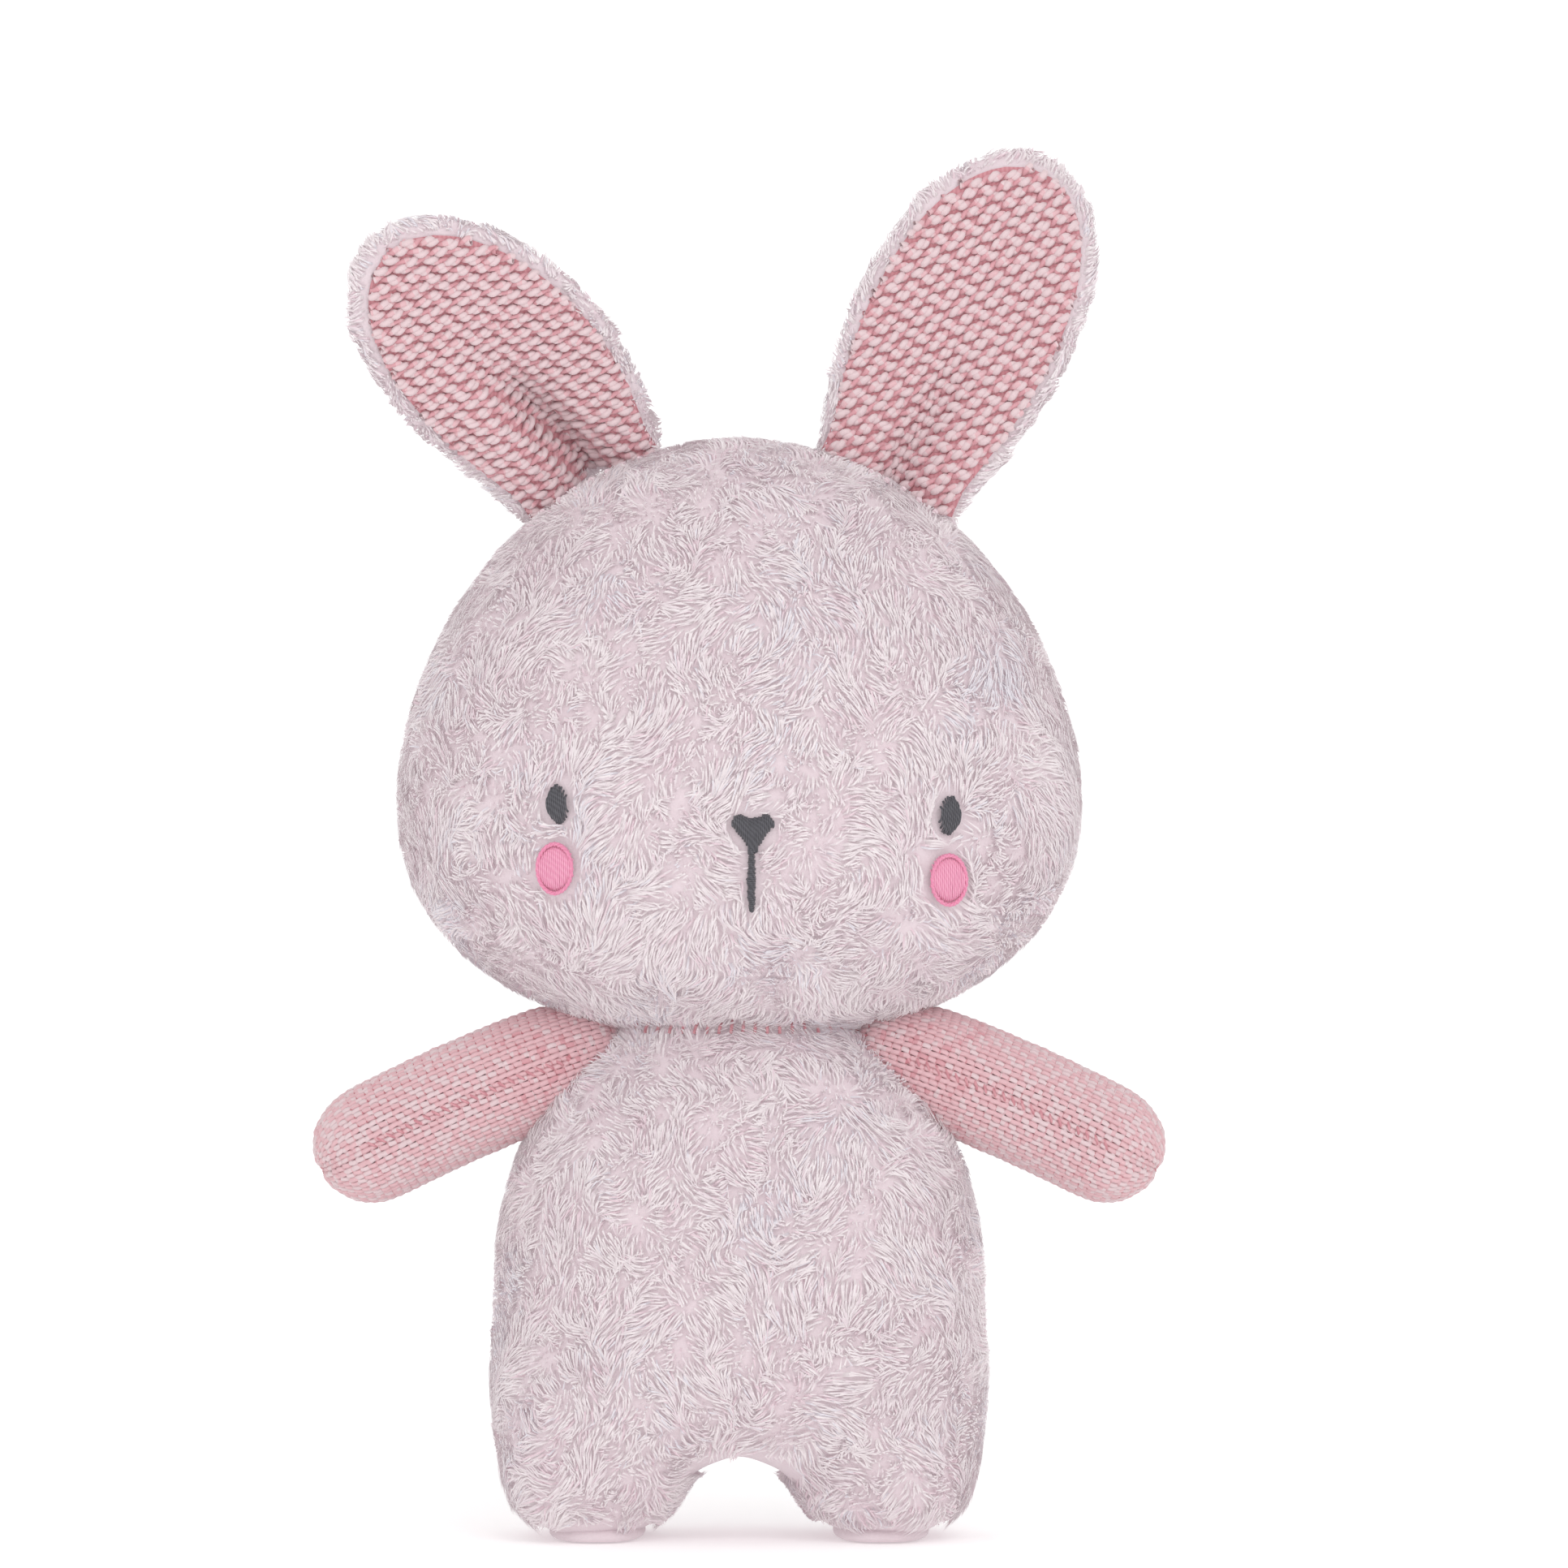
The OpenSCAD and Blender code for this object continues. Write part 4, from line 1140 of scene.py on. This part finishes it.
for side, hand in SIDES:
    arm = ArmLine(side, hand)
    rings = [ring_round(c, w, r, full_turn(40))[0] for c, w, r, _ in zip(*arm.stations(2.5, 1.9))]
    # The arm's cover is the rose cloth, which shows between the stitches as painted shade
    cover = stuffed(f"{side}_arm_cover", loft(rings), gap_shade_cloth, 3, 1.0)
    belongs(cover, f"{side}_arm", [f"{side}_arm_stuffing"])
    surface = surface_of(cover)

    work = YarnWork()
    for course, (centre, way, radius, tilt) in enumerate(zip(*arm.stations(LOOP_TALL, 1.2))):
        loops = max(5, round(2 * math.pi * radius / LOOP_WIDE))
        t = np.linspace(0, 2 * math.pi * loops, loops * 12, endpoint=False)
        turn = (t + 0.85 * np.sin(2 * t)) / loops
        lift = 0.66 * LOOP_TALL * np.cos(t)
        spot, out, onward = ring_round(centre, way, radius, turn, tilt)
        spot = spot + lift[:, None] * onward
        places, normals = land(surface, spot + out * 6, -out)
        if np.isnan(places).any():
            continue
        front = np.minimum(turn % (2 * math.pi), 2 * math.pi - turn % (2 * math.pi)) * radius
        groove = 0.9 * np.exp(-(front / 1.6) ** 2) * (course > 6)
        dimple = 0.35 * np.clip(np.cos(t), 0, 1) ** 4
        line = places + normals * (0.62 - 0.26 * np.cos(2 * t) - dimple - groove)[:, None]
        marl = smooth_noise(line, 4, 61) + 0.9 * np.sin(1.37 * t + 2.3 * course)
        # Near the shoulder the yarn is tinted rose: painted shade where the arm meets the body
        shoulder_shade = 1 - smoothstep((np.linalg.norm(line - arm.shoulder, axis=1) - 8) / 16)
        marl = marl - 1.4 * shoulder_shade
        tints = np.where(marl > 0.1, OFFWHITE, np.where(marl > -1.9, MARL, ROSE))
        # Where each loop's head dips in, the yarn is tinted deep rose, and rose where the marl is
        # light: painted shade in the pinprick gap
        tints = np.where(np.cos(t) > 0.75, np.where(marl > 0.9, ROSE, DEEP_ROSE), tints)
        work.add(line, normals, YARN_R, 5, tints, closed=True)
    knit = work.piece(f"{side}_arm_knit_yarn", yarns)
    belongs(knit, f"{side}_arm", [f"{side}_arm_knit"])

    seam = YarnWork()
    for centre, way, radius, tilt in list(zip(*arm.stations(2.4, 0.9)))[6:-8]:
        reach = np.linspace(-1.1, 1.1, 7)
        spot, out, onward = ring_round(centre, way, radius, reach / radius, tilt)
        spot = spot + (reach * 0.8)[:, None] * onward
        stitch_over(seam, surface, spot + out * 6, -out,
                    0.75 * (1 - (reach / 1.1) ** 2) - 0.1, 0.38)
    stitches = seam.piece(f"{side}_arm_seam_yarn", [seam_yarn])
    belongs(stitches, f"{side}_arm", [f"{side}_arm_seam"])

    # The gathered end: yarn drawn up in rings inside the shoulder seam
    gather = YarnWork()
    turn = full_turn(60)
    way = unit(arm.at(0.1)[0] - arm.shoulder)
    for ring in range(6):
        tilt = math.radians(20 + ring * 14)
        pucker = 0.5 * np.cos(9 * turn)
        spot, out, _ = ring_round(arm.shoulder - way * arm.root_radius * 0.8 * math.cos(tilt), way,
                                  (arm.root_radius * 0.7 * math.sin(tilt) + pucker)[:, None], turn)
        gather.add(spot, out, 1.1, 7, 0, closed=True)
    cuff = gather.piece(f"{side}_shoulder_gathering", [seam_yarn])
    belongs(cuff, f"{side}_shoulder", [f"{side}_shoulder_gather"])

# %% [markdown]
# The face is machine embroidery: rayon floss laid side by side in satin stitch, each
# thread rising out of the plush on one edge and going down on the other, which crowns the patch
# a little. Every thread is a tube laid on the swelled head. The cheeks are bordered with a
# rope of deeper pink. The nose is a soft triangle with a dip in its top edge.

# %% Embroidered face
head_surface = surface_of(head_cover)
# The floss's radius, thread to thread, and how high the patch stands on the cover in its pile
FLOSS_R = 0.3
FLOSS_PITCH = 0.46
STITCH_RISE = 2.3


def on_face(x, z, rise):
    """Points on the head's front at places seen from the front, lifted by a rise."""
    starts = np.stack([x, np.full(len(x), -200.0), z], -1)
    places, normals = land(head_surface, starts, [0.0, 1.0, 0.0])
    return places + normals * np.asarray(rise).reshape(-1, 1), normals


def satin(work, middle, across_range, spans, tilt=0.0, slot=0, rise=STITCH_RISE):
    """Threads side by side; spans(share) gives each thread's two ends along itself."""
    way = np.array([math.sin(tilt), math.cos(tilt)])
    beside = np.array([math.cos(tilt), -math.sin(tilt)])
    low, high = across_range
    count = max(3, round((high - low) / FLOSS_PITCH))
    for i in range(count):
        off = low + (i + 0.5) / count * (high - low)
        start, end = spans(off)
        if end - start < 0.5:
            continue
        s = np.linspace(0, 1, 9)
        flat = np.array(middle) + off * beside + (start + s * (end - start))[:, None] * way
        arch = np.sin(math.pi * s) ** 0.4
        line, normals = on_face(flat[:, 0], flat[:, 1], rise - 1.4 + 1.4 * arch)
        work.add(line, normals, FLOSS_R, 6, slot)


def finish_embroidery(work, node_name, threads):
    """Makes the gathered threads into the piece that stands for a frame node on the head."""
    piece = work.piece(f"{node_name}_embroidery", threads)
    belongs(piece, "head", [node_name])


def face_box(name):
    """The middle and half size of a frame node, seen from the front."""
    low, high = box_mm(name)
    return (low + high)[[0, 2]] / 2, (high - low)[[0, 2]] / 2


def oval_span(half, off):
    """An oval's lower and upper edge at a distance from its middle."""
    return np.array([-1, 1]) * half[1] * math.sqrt(max(0, 1 - (off / half[0]) ** 2))


# Hand-guided embroidery is a little uneven at its edges
ragged = np.random.default_rng(17)
for side, hand in SIDES:
    middle, half = face_box(f"{side}_eye")
    half = half * [0.86, 1.02]
    work = YarnWork()
    satin(work, middle, (-half[0], half[0]),
          lambda off: oval_span(half, off) + ragged.uniform(-0.25, 0.25, 2), tilt=0.1 * hand)
    finish_embroidery(work, f"{side}_eye", [charcoal_floss])

    middle, half = face_box(f"{side}_cheek")
    work = YarnWork()
    inner = half - 0.5
    satin(work, middle, (-inner[0], inner[0]), lambda off: oval_span(inner, off))
    # The rope round the cheek: two threads wound round each other
    turn = full_turn(80)
    for wind in (0, math.pi):
        twist = 14 * turn + wind
        edge = np.stack([np.cos(turn), np.sin(turn)], -1) * (inner - 0.1)
        edge = edge * (1 + 0.035 * np.cos(twist))[:, None] + middle
        line, normals = on_face(edge[:, 0], edge[:, 1], STITCH_RISE - 0.1 + 0.2 * np.sin(twist))
        work.add(line, normals, 0.36, 6, 1, closed=True)
    finish_embroidery(work, f"{side}_cheek", [pink_floss, deep_floss])

middle, half = face_box("nose")


def nose_span(off):
    """The nose's lower and upper edge at a distance from its middle."""
    share = abs(off) / half[0]
    lobe = 0.2 * math.exp(-((share - 0.66) / 0.3) ** 2) - 0.4 * share ** 10
    bottom = min(0.3, 1.9 * share - 1.35) if share > 0.2 else -1.25
    return (np.array([bottom, 0.82 + lobe]) * half[1] + ragged.uniform(-0.3, 0.3, 2)).tolist()


work = YarnWork()
satin(work, middle, (-half[0], half[0]), nose_span)
finish_embroidery(work, "nose", [charcoal_floss])

middle, half = face_box("mouth")


def mouth_span(off):
    """The mouth line's two edges, nearer to each other towards its ends."""
    reach = half[0] * (0.7 - 0.05 * abs(off))
    return -reach + ragged.uniform(-0.2, 0.2), reach + ragged.uniform(-0.2, 0.2)


work = YarnWork()
satin(work, middle, (-half[1] - 1.5, half[1] + 0.4), mouth_span, tilt=math.pi / 2, rise=2.1)
finish_embroidery(work, "mouth", [charcoal_floss])

# %% [markdown]
# Under each foot a flat plush sole lets the toy stand. Round the back, ladder stitches close
# the opening that the filling went in through, and a blank folded tape is caught in the side
# seam. The stitches lie deep in the pile, so they follow the swelled cover and not the frame's
# outer surface.

# %% Soles
def flat_oval(low, high, z, bulge):
    """A level ring round a sole's box, let out by a bulge."""
    turn = full_turn(48)
    x, y = squarish(turn, 2.6)
    middle, half = (low + high) / 2, (high - low) / 2 + bulge
    return np.stack([middle[0] + x * half[0], middle[1] + y * half[1], np.full(48, z)], -1)


for side, hand in SIDES:
    low, high = box_mm(f"{side}_sole")
    levels = [(0.3, -4.5), (0.5, -3.2), (1.2, -2.4), (2.4, -2.4), (4.0, -4.0)]
    points, faces = loft(flat_oval(low, high, z, bulge) for z, bulge in levels)
    sole = new_piece(f"{side}_sole_pad", points, faces, [backing])
    subdivide(sole, 2)
    dress(sole, backing)
    belongs(sole, f"{side}_leg", [f"{side}_sole"])

# %% Closing and neck stitches
torso_surface = surface_of(torso_cover)
low, high = box_mm("closing_stitches")
work = YarnWork()
for z in np.arange(low[2] + 1, high[2], 4):
    x = np.linspace(-2.4, 2.4, 9)
    starts = np.stack([x, np.full(9, 200.0), np.full(9, z)], -1)
    stitch_over(work, torso_surface, starts, [0.0, -1.0, 0.0],
                1.1 * np.cos(x / 2.4 * 1.4) - 0.2, 0.5)
stitches = work.piece("closing_ladder_stitches", [sewing_thread])
belongs(stitches, "torso", ["closing_stitches"])

work = YarnWork()
NECK_DASHES, SEAM_Z = 46, neck[2] + 2.5
for turn in full_turn(NECK_DASHES):
    out = np.array([math.cos(turn), math.sin(turn), 0])
    rise = np.linspace(-1.6, 1.6, 7)
    starts = out * 90 + np.stack([0.3 * rise, 0 * rise, SEAM_Z + rise], -1)
    stitch_over(work, torso_surface, starts, -out, 2.6 * np.cos(rise / 1.6 * 1.3), 0.42)
dashes = work.piece("neck_seam_stitches", [seam_yarn])
belongs(dashes, "torso", ["neck_stitches"])

# %% Side tape
low, high = box_mm("care_label")
LABEL_LOOP, LABEL_GAP = 16, 0.9
# The tape's cut length: out to the fold, round it and back, with 4 mm caught in the seam twice
fold = np.concatenate([
    [[s, -LABEL_GAP] for s in np.linspace(-4, LABEL_LOOP, 12)],
    [[LABEL_LOOP + LABEL_GAP * math.sin(a), -LABEL_GAP * math.cos(a)]
     for a in np.linspace(0.3, math.pi - 0.3, 6)],
    [[s, LABEL_GAP] for s in np.linspace(LABEL_LOOP, -4, 12)],
])
start = np.array([low[0] - 0.6, low[1], 0])
tape_way = np.array([-0.12, 1, 0])
rows = []
for z in np.linspace(low[2], high[2], 9):
    curl = 0.004 * fold[:, :1] ** 2
    rows.append(start + [0, 0, z] + fold[:, :1] * tape_way + (fold[:, 1:] - curl) * [1, 0.1, 0])
label = new_piece("care_label_tape", np.concatenate(rows), grid_faces(9, len(fold), False), [tape])
thick = label.modifiers.new("thickness", "SOLIDIFY")
thick.thickness = 0.35 * MM
settle(label)
belongs(label, "torso", ["care_label"])
